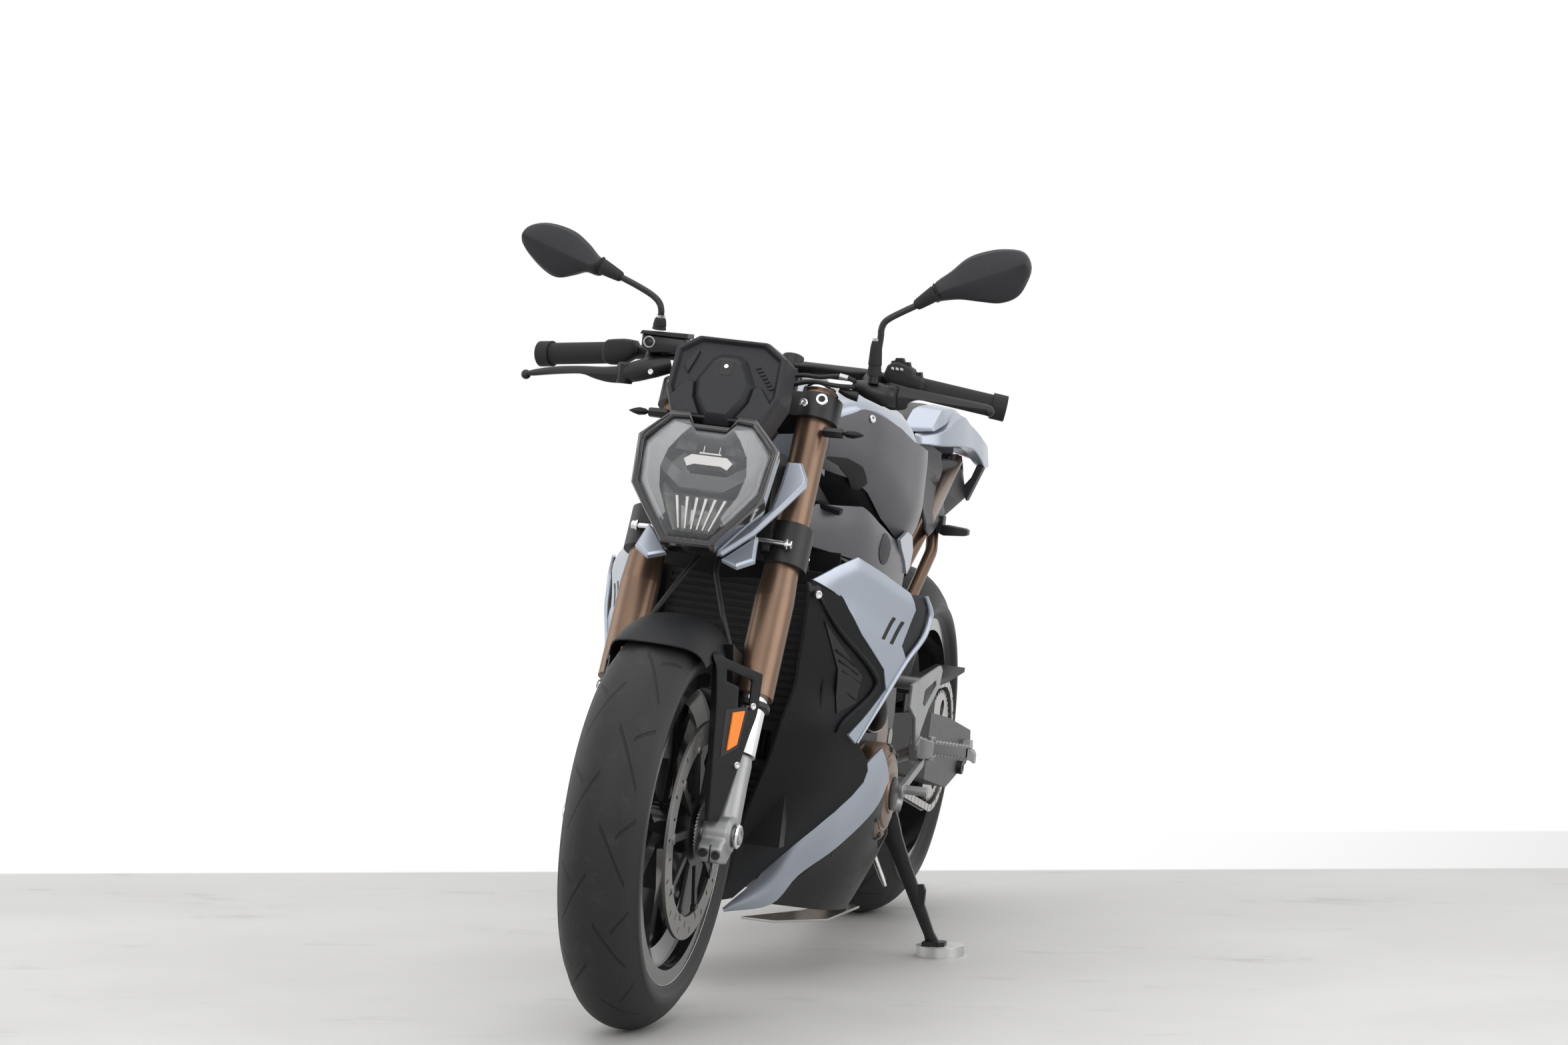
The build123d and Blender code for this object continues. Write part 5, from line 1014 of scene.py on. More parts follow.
raised = closed(faceRows(hexagon, (0, 166), (1.12, -9), (0.84, 6.0)))
piece("displayPanel", raised, "dark", "steering", edge=1.6, crease=20.0)
wings = both(closed(faceRows(coverShape["wing"], (58, 146), (1, -9), (0.82, -0.5))))
piece("displayWings", wings, "dark", "steering", edge=1.4, crease=20.0)
pocket = flat([(-11, 209), (11, 209), (8, 184), (-8, 184)], 5.0, 6.4)
louvres = [flat([(x, v), (x + 7, v + 3), (x + 6, v + 5.4), (x - 1, v + 2.4)], -9.2, -6.4)
           for x, v in ((42 + 4.3 * k, 205 - 5.2 * k) for k in range(7))]
ridge = flat([(-68, 200), (-57, 222), (-48, 225), (-52, 210), (-60, 186)], -9.2, -4.5)
piece("displayPocket", joined(pocket, *louvres), "black", "steering", edge=0.4)
piece("displayRidge", ridge, "dark", "steering", edge=1.2)
piece("displayScrew", screw(onFace(0, 198, 6.2), steerOut, 3.4, 2.0), "bright", "steering")

# The fins beside the lamp lie on a plane of their own.
finTilt = math.radians(22)
finNormal = steerUp * math.sin(finTilt) + steerOut * math.cos(finTilt)
finUp = finNormal.cross(Vector((1, 0, 0)))
finRoot = onSteer(0, 160, 371)
finShapes = {
    "blade": [(29, 17), (44, 18), (62, 42), (79, 66), (106, 122), (130.5, 177), (128, 192), (112, 223.5),
              (89, 221.5), (91, 170), (89.5, 118), (58, 67)],
    "tip": [(42, 16), (68, 4), (92, 21), (84, 70), (72, 58)],
}


def onFin(u, v, deep):
    return finRoot + Vector((u, 0, 0)) + finUp * v + finNormal * deep


def inset(outline, distance):
    ring, count = [], len(outline)
    points = [Vector(point) for point in outline]
    area = sum(points[k].x * points[(k + 1) % count].y - points[(k + 1) % count].x * points[k].y
               for k in range(count))
    for k in range(count):
        into, out = (points[k] - points[k - 1]).normalized(), (points[(k + 1) % count] - points[k]).normalized()
        normal = (Vector((-into.y, into.x)) + Vector((-out.y, out.x))).normalized()
        reach = distance / max(0.45, normal.dot(Vector((-into.y, into.x))))
        ring.append(tuple(points[k] + normal * reach * (1 if area > 0 else -1)))
    return ring


def chamfered(outline, low, high, rim):
    return closed([[onFin(u, v, deep) for u, v in ring]
                   for ring, deep in ((outline, low), (outline, high - rim * 0.7), (inset(outline, rim), high))])


piece("lampFins", both(chamfered(finShapes["blade"], -8, 0, 4.5)), "panel", "steering", ["headlight_fins"],
      edge=1.0, crease=20.0, slot="satin_blue_grey")
piece("lampFinTips", both(chamfered(finShapes["tip"], -18, -8, 4.0)), "panel", "steering", edge=1.0,
      crease=20.0, slot="satin_blue_grey")
print("display and fins made")

# Mirrors, levers, switches and signals.
barShape = {
    "mirrorRight": [(-253, 1107), (-268, 1117), (-286, 1134), (-312, 1151), (-350, 1159), (-380, 1153), (-391, 1138),
                    (-390, 1122), (-375, 1104), (-351, 1085), (-329, 1077), (-302, 1084), (-284, 1090), (-262, 1087)],
    "creaseRight": [(-280, 1102), (-388, 1138)],
    "mirrorLeft": [(260, 1129), (285, 1153), (306, 1174), (329, 1186), (359, 1194), (391, 1193), (405, 1171),
                   (399, 1143), (387, 1124), (363, 1113), (334, 1112), (302, 1112), (275, 1107), (267, 1105)],
    "creaseLeft": [(270, 1117), (398, 1176)],
    "dome": [(0.05, -426.5), (0.0, -428.5), (0.0, -435), (0.12, -442), (0.4, -447), (0.75, -450.5), (0.97, -452.5)],
    "leverLeft": [(203, 974), (236, 972), (299, 966), (355, 961), (369, 957), (368, 947), (355, 945), (301, 952),
                  (267, 957), (243, 950), (236, 938), (206, 938)],
    "leverRight": [(-188, 955), (-239, 949), (-278, 946), (-321, 940), (-360, 929), (-362, 921), (-320, 928),
                   (-276, 934), (-252, 929), (-224, 926), (-188, 932)],
    "switch": [(196, 978), (198, 1001), (214, 1008), (236, 1000), (240, 992), (252, 988), (255, 972), (240, 966),
               (222, 968)],
    "twist": [(-252, 960), (-252, 986), (-236, 993), (-206, 994), (-200, 974), (-218, 958), (-238, 953)],
    "reservoir": [(-182, 989), (-182, 1006), (-112, 1006), (-112, 984), (-140, 981), (-168, 978)],
}


# An outline drawn in towards a crease line by a share at each depth, for domed shells and blades.
def crowned(outline, spine, profile):
    start, end = Vector(spine[0]), Vector(spine[1])
    run, rows = end - start, []
    for share, deep in profile:
        row = []
        for point in outline:
            here = Vector(point)
            along = min(1.0, max(0.0, (here - start).dot(run) / run.length_squared))
            row.append(frontal(*here.lerp(start + run * along, share), deep))
        rows.append(row)
    return closed(rows)


heads, glasses, stems, boots, collars = [], [], [], [], []
for side, neck, stem, low in (
        ("Right", [(-252, -440, 1099), (-262, -440, 1103)],
         [(-224, -443, 1088), (-197, -446, 1078), (-172, -449, 1067), (-159, -450, 1057), (-154, -450, 1046),
          (-154, -448, 1034), (-155, -446, 1016)], 1034),
        ("Left", [(258, -440, 1116), (270, -440, 1121)],
         [(238, -442, 1095), (222, -446, 1085), (204, -450, 1073), (195, -451, 1064), (192, -451, 1053),
          (192, -450, 1039), (188, -446, 984)], 1036)):
    ring, crease = smoothRing(barShape["mirror" + side], 4), barShape["crease" + side]
    heads.append(crowned(ring, crease, barShape["dome"]))
    glasses.append(crowned(ring, crease, [(0.10, -426.5), (0.10, -425.9), (0.13, -425.6)]))
    stems.append(tube(stem, 5.0, steps=4))
    root, reach = Vector(stem[0]), Vector(neck[1])
    boots.append(tube([root, root.lerp(reach, 0.1), root.lerp(reach, 0.55), root.lerp(reach, 0.86),
                       root.lerp(reach, 0.88), reach], [6.0, 8.5, 11.0, 12.5, 10.5, 14.5], steps=3))
    foot = Vector(stem[-1])
    up = Vector((foot.x * 0.992, -449, low)) - foot
    boots.append(tube([foot, foot + up * 0.3, foot + up * 0.33, foot + up * 0.8, foot + up],
                      [11.0, 9.5, 10.5, 9.0, 7.0], steps=3))
    collars.append(turned([(6.4, -3), (6.4, 4)], foot + up, up, 18))
piece("mirrorHeads", joined(*heads), "dark", "steering", ["mirrors"], crease=24.0, slot="dark_plastic")
piece("mirrorGlass", joined(*glasses), "bright", "steering", crease=24.0, slot="bright_steel")
piece("mirrorStems", joined(*stems), "black", "steering")
piece("mirrorBoots", joined(*boots), "grip", "steering", crease=50.0)
piece("mirrorCollars", joined(*collars), "steel", "steering")

bladeShapes = []
for name, crease, spot in (("leverLeft", [(225, 955), (362, 953)], -424),
                           ("leverRight", [(-215, 941), (-360, 925)], -430)):
    profile = [(0.25, spot + 9), (0.0, spot + 4), (0.0, spot - 3), (0.3, spot - 6), (0.9, spot - 8)]
    bladeShapes.append(crowned(smoothRing(barShape[name], 3), crease, profile))
for middle in ((366, -425, 950), (-364, -430, 923)):
    ball = bmesh.new()
    bmesh.ops.create_uvsphere(ball, u_segments=20, v_segments=12, radius=7.6)
    bmesh.ops.translate(ball, vec=middle, verts=ball.verts)
    bladeShapes.append(ball)
piece("levers", joined(*bladeShapes), "black", "steering", crease=50.0)
pivotProfile = [(12, -16), (13, -14), (13, 14), (10, 17)]
perches = [
    tube([(156, -432, 966), (178, -436, 962), (204, -432, 956), (214, -428, 954)], [8, 14, 17, 14], sides=20, steps=3),
    tube([(178, -392, 978), (178, -420, 972), (180, -436, 962)], [16, 15, 12], sides=20, steps=3),
    turned(pivotProfile, (212, -428, 955), (0, 0, 1), 24),
    tube([(136, -438, 957), (150, -438, 952), (165, -436, 950)], [5, 7, 9], sides=12, steps=3),
    tube([(-136, -424, 966), (-160, -430, 958), (-190, -430, 947), (-206, -430, 943)], [15, 17, 16, 13], sides=20,
         steps=3),
    tube([(-168, -392, 978), (-168, -418, 966), (-170, -430, 956)], [16, 16, 13], sides=20, steps=3),
    turned(pivotProfile, (-206, -430, 943), (0, 0, 1), 24),
    turned([(8, -8), (8, 10), (5, 13)], (188, -446, 980), (0, 0, 1), 18),
]
piece("leverPerches", joined(*perches), "black", "steering", ["bar_controls"], crease=40.0, slot="black_metal")
housings = [crowned(smoothRing(barShape["switch"], 2), [(214, 986), (240, 982)],
                    [(0.2, -372), (0.0, -378), (0.0, -408), (0.12, -413), (0.5, -416)]),
            crowned(smoothRing(barShape["twist"], 2), [(-238, 974), (-216, 978)],
                    [(0.2, -370), (0.0, -376), (0.0, -406), (0.15, -411), (0.5, -414)])]
for x, z, wide, high in ((214, 1010, 9, 5), (226, 1005, 6, 5), (205, 1004, 5, 6), (246, 990, 6, 7)):
    housings.append(plate([(x - wide, z - high), (x + wide, z - high), (x + wide * 0.5, z + high),
                           (x - wide * 0.7, z + high * 0.8)], -400, -386, frontal))
piece("switchHousings", joined(*housings), "grip", "steering", edge=1.2, crease=35.0)
switches = [plate([(x, 996), (x + 5, 995), (x + 5, 999), (x, 1000)], -417.5, -410, frontal) for x in (206, 213, 220)]
piece("switchButtons", joined(*switches), "steel", "steering", edge=0.6)
tank = crowned(barShape["reservoir"], [(-168, 994), (-126, 994)],
               [(0.15, -410), (0.0, -414), (0.0, -440), (0.1, -443.5), (0.5, -445.5)])
lid = plate([(-185, 1006), (-109, 1006), (-109, 1014), (-182, 1012)], -446, -406, frontal)
piece("brakeReservoir", joined(tank, lid), "black", "steering", edge=1.6, crease=30.0)
sight = Vector((-168, -445.5, 995))
forward = (0, -1, 0)
piece("sightRing", turned([(9.5, 0), (9.5, 2.2), (8.5, 3.0), (7.0, 3.0), (6.6, 1.0)], sight, forward, 30), "cast",
      "steering")
piece("sightGlass", turned([(6.6, 0.8), (6.0, 1.6), (0.1, 1.9)], sight, forward, 24), "black", "steering",
      crease=70.0)
piece("barClampBolts", joined(screw((202, -441, 950), forward, 4.5, 3), screw((-160, -447, 950), forward, 4.5, 3),
                              screw((95, -489, 931), (0, -0.9, 0.4), 6.5, 4)), "bright", "steering")
cables = [
    [(57, -420, 985), (100, -420, 986), (140, -414, 984), (168, -404, 985), (196, -398, 982)],
    [(50, -432, 968), (80, -440, 972), (104, -442, 972), (136, -442, 977), (158, -438, 972)],
    [(62, -444, 956), (96, -450, 964), (131, -448, 962), (160, -438, 963)],
    [(-128, -424, 950), (-104, -436, 940), (-90, -452, 925), (-84, -462, 900)],
]
piece("barCables", joined(*[tube(run, 3.6, sides=12, steps=5) for run in cables]), "hose", "steering")
piece("cableFerrules", tube([(134, -442, 977), (147, -441, 975)], 4.6, sides=14, steps=1), "steel", "steering")
signals, stalks = [], []
leaf = [(0.5, 2.2), (0.58, 5.6), (0.74, 7.2), (0.88, 4.6), (1.0, 0.8)]
for root, tip in (((-117, -478, 890), (-176, -486, 889)), ((128, -478, 891), (192, -486, 893))):
    root, tip = Vector(root), Vector(tip)
    joint = root.lerp(tip, 0.5)
    stalks.append(tube([root, root.lerp(joint, 0.2), root.lerp(joint, 0.9), joint], [7.5, 8.0, 7.6, 5.0], sides=6,
                       steps=2))
    rows = [[root.lerp(tip, share) + Vector((0, y * size * 1.5, z * size)) for y, z in
             ((-1, 0), (-0.6, 0.62), (0, 0.85), (0.6, 0.62), (1, 0), (0.6, -0.62), (0, -0.85), (-0.6, -0.62))]
            for share, size in leaf]
    signals.append(closed(rows))
piece("signalStalks", joined(*stalks), "black", "steering", ["front_turn_signals"], crease=40.0, slot="black_metal")
piece("signalLeaves", joined(*signals), "cowl", "steering", crease=30.0)
print("mirrors, levers and switches made")

# Tank, filler cap and tank covers.
tankShape = {
    # place along, then half section from the middle of the top down to the bottom
    "sections": [
        (-291, [(0, 941), (40, 942), (66, 940), (84, 930), (95, 912), (94, 888), (89, 862), (79, 834)]),
        (-255, [(0, 951), (50, 952), (80, 949), (108, 940), (124, 927), (110, 884), (102, 850), (86, 814)]),
        (-215, [(0, 957), (60, 957), (96, 953), (126, 943), (148, 925), (130, 884), (118, 852), (98, 802)]),
        (-140, [(0, 958), (62, 957), (106, 952), (146, 933), (170, 903), (150, 868), (130, 836), (104, 787)]),
        (-60, [(0, 945), (64, 945), (110, 941), (154, 922), (184, 878), (160, 850), (136, 822), (106, 776)]),
        (0, [(0, 930), (60, 929), (99, 922), (140, 900), (167, 872), (152, 838), (124, 808), (100, 765)]),
        (60, [(0, 908), (52, 907), (90, 901), (128, 882), (151, 861), (134, 830), (111, 800), (93, 756)]),
        (120, [(0, 880), (42, 879), (73, 872), (100, 858), (115, 842), (106, 818), (94, 796), (80, 758)]),
        (164, [(0, 854), (34, 853), (58, 850), (72, 839), (83, 826), (80, 808), (74, 792), (66, 763)]),
    ],
    "front": -291, "back": 164, "rows": 26,
}


def hull(sections, front, back, rows):
    made = []
    for k in range(rows + 1):
        spot = front + (back - front) * k / rows
        half = smoothLine([tracked([(y, places[j]) for y, places in sections], spot, smoothValue)
                           for j in range(len(sections[0][1]))], 2)
        ring = [Vector((x, spot, z)) for x, z in half]
        ring += [Vector((-x, spot, z)) for x, z in reversed(half) if abs(x) > 1e-6]
        made.append(ring)
    return closed(made)


piece("tankShell", hull(**tankShape), "panel", "chassis", ["fuel_tank"], crease=40.0, slot="satin_blue_grey")

capMiddle, upright = Vector((0, -140, 958)), (0, 0, 1)
collar = turned([(52, -12), (53, 0.2), (51.5, 1.4), (47, 1.4), (46, -2)], capMiddle, upright, 56)
piece("fillerCollar", collar, "black", "chassis", crease=50.0)
lugs = joined(*[plate([(-205.4, 952), (-205.4, 967), (-202, 970), (-197, 970), (-194.6, 967), (-194.6, 952)],
                      side * 8.5, side * 15.5, sideways) for side in (1, -1)],
              tube([(-15.5, -200, 963.9), (15.5, -200, 963.9)], 3.0, smooth=False))
piece("fillerHinge", lugs, "black", "chassis", edge=0.6)
capTop = joined(turned([(40, 0.6), (43.6, 2.4), (43.8, 6.0), (42, 8.2), (34, 8.6), (31, 7.6), (12, 7.6), (10, 8.4)],
                       capMiddle, upright, 56),
                plate([(-7, -186), (7, -186), (8, -160), (-8, -160)], 958.6, 966, fromAbove),
                tube([(-7.8, -200, 963.9), (7.8, -200, 963.9)], 5.4, smooth=False, sides=20),
                plate([(-7.5, -200), (7.5, -200), (7.5, -180), (-7.5, -180)], 959, 966, fromAbove))
piece("fillerCap", capTop, "cast", "fuel_cap", ["fuel_cap"], edge=0.5, crease=40.0, slot="cast_silver")
capBolts = [screw((37.7 * math.sin(turn), capMiddle.y + 37.7 * math.cos(turn), 966.4), upright, 3.0, 1.6)
            for turn in (math.tau * k / 5 for k in range(5))]
piece("fillerScrews", joined(*capBolts), "steel", "fuel_cap")

shieldShape = {
    "outline": [(-300, 905), (-262, 919), (-245, 928), (-215, 920), (-150, 903), (-110, 886), (-40, 872), (40, 864),
                (96, 840), (140, 804), (146, 768), (112, 742), (60, 716), (0, 708), (-75, 722), (-140, 757),
                (-195, 796), (-240, 817), (-300, 833)],
    "bulge": [(-300, 97), (-262, 121), (-245, 137), (-215, 156), (-150, 177), (-100, 188), (-45, 195), (20, 187),
              (70, 166), (110, 138), (150, 104)],
    "top": [(-300, 905), (-245, 928), (-110, 886), (40, 866), (150, 800)],
    "bottom": [(-300, 833), (-195, 796), (-75, 722), (20, 708), (150, 740)],
    "recess": [(-296, 850), (-262, 850), (-236, 838), (-212, 812), (-216, 800), (-228, 800), (-246, 818),
               (-268, 836), (-296, 846)],
}


def shieldReach(spot, up):
    top, bottom = value(shieldShape["top"], spot), value(shieldShape["bottom"], spot)
    part = (up - bottom) / max(top - bottom, 1)
    crown = 9 * max(0.0, part - 0.8) ** 2 * 5 + 26 * max(0.0, 0.45 - part) ** 2 * 4
    return smoothValue(shieldShape["bulge"], spot) - crown


# An open sheet facing outward on the left, mirrored to the right and thickened inward.
def skin(name, shape, finish, stands=(), wall=5.0, edge=1.4, slot=None, crease=32.0):
    bmesh.ops.recalc_face_normals(shape, faces=shape.faces)
    if sum(face.normal.x * face.calc_area() for face in shape.faces) < 0:
        bmesh.ops.reverse_faces(shape, faces=shape.faces)
    piece(name, both(shape), finish, "chassis", stands, wall=wall, edge=edge, slot=slot, crease=crease, inside=False)


def bentSkin(name, outline, reach, finish, stands=(), wall=6.0, step=14.0, edge=1.6, slot=None):
    skin(name, bent(outline, reach, step), finish, stands, wall, edge, slot, crease=30.0)


# The same reach, further out by so much.
def proud(reach, by):
    return lambda spot, up: reach(spot, up) + by


bentSkin("tankShields", shieldShape["outline"], shieldReach, "shield", ["tank_covers"], wall=26.0, step=13.0,
         edge=2.2, slot="dark_plastic")
bentSkin("shieldRecesses", shieldShape["recess"], proud(shieldReach, 0.7), "black", wall=3.0, step=10.0, edge=1.0)
shieldScrews = [screw((side * 144, -233, 914), (side * 0.85, -0.45, 0.28), 6.5, 3.4) for side in (1, -1)]
piece("shieldScrews", joined(*shieldScrews), "bright", "chassis")

# Side covers beside the frame.
sideShape = {
    "lining": [(-334, 762), (-318, 846), (-240, 828), (-180, 806), (-120, 770), (-58, 736), (-58, 704), (-190, 736),
               (-252, 764)],
    "cover": [(-352, 712), (-350, 762), (-338, 776), (-256, 777), (-199, 752), (-130, 728), (-32, 706), (-34, 640),
              (-110, 646), (-200, 664), (-250, 690), (-300, 700)],
    "reach": [(-352, 92), (-300, 132), (-250, 160), (-200, 174), (-140, 181), (-80, 183), (-30, 182)],
    "top": [(-352, 770), (-250, 776), (-199, 750), (-30, 706)],
    "oval": (-180, 712, 25),
    "strip": [(-118, 726), (-70, 738), (-30, 730), (-8, 706), (-14, 680), (-34, 668), (-60, 690), (-96, 710)],
}


def sideReach(spot, up):
    top = value(sideShape["top"], spot)
    return smoothValue(sideShape["reach"], spot) - 0.30 * max(0.0, up - (top - 20)) - 0.05 * max(0.0, 690 - up)


bentSkin("frameLinings", sideShape["lining"], proud(shieldReach, -15), "cowl", wall=8.0, step=16.0, edge=1.5)
bentSkin("frameCovers", sideShape["cover"], sideReach, "shield", ["side_covers"], wall=24.0, step=15.0, edge=2.0,
         slot="dark_plastic")
ovalY, ovalZ, ovalRadius = sideShape["oval"]
oval = [(ovalY + ovalRadius * math.cos(turn), ovalZ + ovalRadius * math.sin(turn))
        for turn in (math.tau * k / 32 for k in range(32))]
bentSkin("bareOvals", oval, proud(sideReach, 1.2), "dark", wall=3.0, step=9.0, edge=1.0)
bentSkin("lightStrips", sideShape["strip"], lambda spot, up: 187 - 0.03 * (730 - up), "panel", step=15.0, edge=1.5)

# Radiator shrouds.
shroudShape = {
    "plan": [(-441, 128), (-412, 150), (-384, 168), (-362, 182), (-320, 205), (-280, 225), (-240, 246), (-200, 262),
             (-170, 262), (-140, 256)],
    "main": [(-437, 666), (-400, 687), (-362, 704), (-300, 679), (-243, 652), (-232, 626), (-243, 590),
             (-253, 569), (-241, 547), (-286, 480), (-330, 416), (-346, 429), (-312, 462), (-277, 500),
             (-287, 532), (-343, 586), (-384, 640), (-418, 656)],
    "strip": [(-245, 650), (-203, 648), (-160, 638), (-153, 606), (-156, 578), (-208, 570), (-243, 546),
              (-252, 569), (-243, 590), (-233, 626)],
    "slots": [[(-300, 580), (-293, 578), (-271, 612), (-278, 614)],
              [(-281, 573), (-274, 571), (-252, 606), (-259, 608)]],
    "edge": [(-203, 647), (-186, 620), (-196, 590), (-216, 570), (-243, 545), (-286, 480), (-328, 417)],
    "corner": [(-440, 662), (-418, 655), (-404, 641), (-392, 622), (-404, 612), (-424, 634), (-439, 648)],
    "top": [(-440, 668), (-362, 704), (-243, 652), (-150, 640)],
}


def shroudReach(spot, up):
    top = value(shroudShape["top"], spot)
    roll = 0.010 * max(0.0, up - (top - 22)) ** 2
    hollow = 3.0 * math.exp(-((up - (top - 62)) / 30) ** 2) if spot > -400 else 0.0
    return smoothValue(shroudShape["plan"], spot) - roll - hollow


bentSkin("shroudPanels", shroudShape["main"], shroudReach, "panel", ["radiator_shrouds"], wall=6.5, step=11.0,
         edge=1.8, slot="satin_blue_grey")
bentSkin("shroudStrips", shroudShape["strip"], proud(shroudReach, -4.0), "dark", step=12.0, edge=1.8)
edgeLine = [(shroudReach(y, z) + 1.0, y, z) for y, z in shroudShape["edge"]]
piece("shroudEdges", both(tube(edgeLine, [3.0, 5.0, 5.0, 4.5, 4.0, 3.5, 1.5], sides=10, steps=4)), "panel",
      "chassis")
slits = [both(bent(slot, proud(shroudReach, 0.7), 12.0)) for slot in shroudShape["slots"]]
piece("shroudSlots", joined(*slits), "black", "chassis", wall=2.0, edge=0.4)
bentSkin("shroudCorners", shroudShape["corner"], proud(shroudReach, -4.5), "black", wall=5.0, edge=1.2)
shroudScrews = [screw((side * 137, -432, 644), (side * 0.72, -0.68, 0), 6.5, 4.0) for side in (1, -1)]
piece("shroudScrews", joined(*shroudScrews), "bright", "chassis")
fills = plate([(92, 672), (140, 672), (140, 704), (92, 704)], -322, -318, frontal)
piece("frameFills", both(fills), "cowl", "chassis")
print("bodywork made")

# Seats and tail. Each section is a place along and the places across it.
seatShape = {
    "rider": [(176, (50, 846), (67, 831), (62, 793)), (236, (70, 838), (95, 821), (91, 782)),
              (300, (88, 832), (115, 811), (113, 773)), (370, (94, 834), (127, 816), (116, 782)),
              (440, (100, 844), (135, 822), (118, 793)), (478, (88, 878), (120, 862), (106, 804))],
    "pillion": [(494, (48, 902), (60, 892), (58, 862)), (560, (62, 916), (78, 904), (72, 872)),
                (620, (66, 927), (82, 914), (76, 880)), (694, (54, 932), (66, 922), (62, 894))],
    "wing": [(464, (62, 884), (76, 881), (80, 866), (70, 862)), (500, (84, 896), (110, 893), (112, 866), (92, 862)),
             (560, (88, 929), (126, 921), (131, 868), (112, 864)), (630, (90, 931), (131, 905), (139, 864), (118, 860)),
             (668, (86, 931), (137, 893), (145, 850), (124, 848)), (704, (82, 930), (141, 880), (149, 832), (130, 834)),
             (780, (68, 922), (130, 870), (136, 834), (118, 838)), (850, (40, 905), (54, 901), (62, 851), (44, 851))],
    "front": [(468, (42, 893), (94, 897), (98, 890), (46, 884)), (490, (50, 925), (101, 925), (107, 900), (60, 886)),
              (512, (64, 934), (104, 931), (110, 906), (66, 888)), (580, (66, 936), (104, 932), (112, 922), (70, 900))],
    "body": [(480, (98, 838), (96, 800), (62, 770), (30, 775)), (540, (108, 842), (106, 786), (66, 748), (30, 752)),
             (600, (114, 842), (112, 776), (70, 738), (30, 742)), (660, (110, 836), (118, 770), (76, 728), (30, 734)),
             (700, (108, 822), (122, 778), (78, 728), (30, 734)), (760, (98, 826), (100, 790), (66, 754), (30, 758)),
             (818, (82, 846), (74, 808), (52, 788), (30, 790))],
    "strut": [(124, 768), (136, 800), (148, 832), (136, 836), (128, 812), (112, 790)],
    "skirt": [(120, 742), (196, 722), (262, 728), (348, 744), (428, 756), (474, 776), (486, 800), (462, 818),
              (380, 826), (280, 832), (160, 838)],
    "seam": [(232, 786), (300, 778), (400, 790), (462, 800)],
    "peg": [(154, 2, 721, 736), (162, 0, 719, 737), (196, 4, 722, 735), (202, 7, 724, 733)],
}
cushionCloth = {"rounds": 14, "pressure": 4.0, "frames": 20}


def crossed(sections, steps=3):
    tracks = [smoothLine([(part[k][0], part[0], part[k][1]) for part in sections], steps)
              for k in range(1, len(sections[0]))]
    return [list(row) for row in zip(*tracks)]


def mirroredLoft(sections):
    return closed([row + [Vector((-point.x, point.y, point.z)) for point in reversed(row)]
                   for row in crossed(sections)])


# The piece's mesh as its modifiers leave it.
def settled(made):
    graph = bpy.context.evaluated_depsgraph_get()
    data = bpy.data.meshes.new_from_object(made.evaluated_get(graph))
    made.modifiers.clear()
    made.data = data
    return data


# A cushion is a loft, rounded off and then blown up a little as cloth, by no more than the cap.
def cushion(name, sections, stands, voxel, cap):
    made = piece(name, mirroredLoft(sections), "leather", "chassis", crease=180.0)
    grid = made.modifiers.new("grid", "REMESH")
    grid.mode, grid.voxel_size, grid.use_smooth_shade = "VOXEL", voxel / 1000, True
    soft = made.modifiers.new("soft", "SMOOTH")
    soft.factor, soft.iterations = 0.5, cushionCloth["rounds"]
    data = settled(made)
    start = [vert.co.copy() for vert in data.vertices]
    cloth = made.modifiers.new("cloth", "CLOTH")
    cloth.settings.use_pressure, cloth.settings.uniform_pressure_force = True, cushionCloth["pressure"]
    cloth.settings.effector_weights.gravity = 0.0
    cloth.collision_settings.use_collision = False
    cloth.point_cache.frame_start, cloth.point_cache.frame_end = 1, cushionCloth["frames"]
    for count in range(1, cushionCloth["frames"] + 1):
        scene.frame_set(count)
    grown = settled(made)
    for vert, before in zip(grown.vertices, start):
        move = vert.co - before
        if move.length > cap / 1000:
            vert.co = before + move.normalized() * cap / 1000
    scene.frame_set(1)
    fine = made.modifiers.new("fine", "SUBSURF")
    fine.levels = fine.render_levels = 1
    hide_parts(*stands)
    return made


riderPad = cushion("riderPad", seatShape["rider"], ["rider_seat"], 5.5, 5.0)
cushion("pillionPad", seatShape["pillion"], ["pillion_seat"], 5.0, 4.0)
print("seats filled")

# The seam lies on the cushion as it came out.
fromRow = toRow.inverted()
padTree = BVHTree.FromObject(riderPad, bpy.context.evaluated_depsgraph_get())
toPad = riderPad.matrix_world.inverted() @ toRow
seams = []
for side in (1, -1):
    path = []
    for y, z in smoothLine(seatShape["seam"], 5):
        spot, normal = padTree.find_nearest(toPad @ Vector((side * 150, y, z)))[:2]
        path.append(fromRow @ (riderPad.matrix_world @ (spot + normal * 0.0002)))
    seams.append(tube(path, 1.1, sides=8, smooth=False))
piece("riderSeams", joined(*seams), "hose", "chassis")

wings = closed(crossed(seatShape["wing"]))
piece("tailWings", both(wings), "panel", "chassis", ["tail_plates"], edge=2.5, segments=3, crease=24.0,
      slot="satin_blue_grey")
fronts = closed(crossed(seatShape["front"], 2))
piece("tailFronts", both(fronts), "panel", "chassis", edge=2.0, segments=3, crease=20.0, slot="satin_blue_grey")
piece("tailBody", mirroredLoft(seatShape["body"]), "dark", "chassis", ["under_tail"], edge=3.0, segments=3,
      crease=24.0, slot="dark_plastic")
struts = plate(seatShape["strut"], 690, 716, frontal)
piece("tailStruts", both(struts), "dark", "chassis", edge=2.5, segments=3)
rear = closed([[Vector((x, y, z)) for x, z in ((-wide, low), (wide, low), (wide * 0.96, high), (-wide * 0.96, high))]
               for y, wide, low, high in ((704, 88, 848, 926), (780, 66, 851, 918), (850, 42, 853, 900))])
piece("tailRear", rear, "panel", "chassis", edge=2.0, slot="satin_blue_grey")
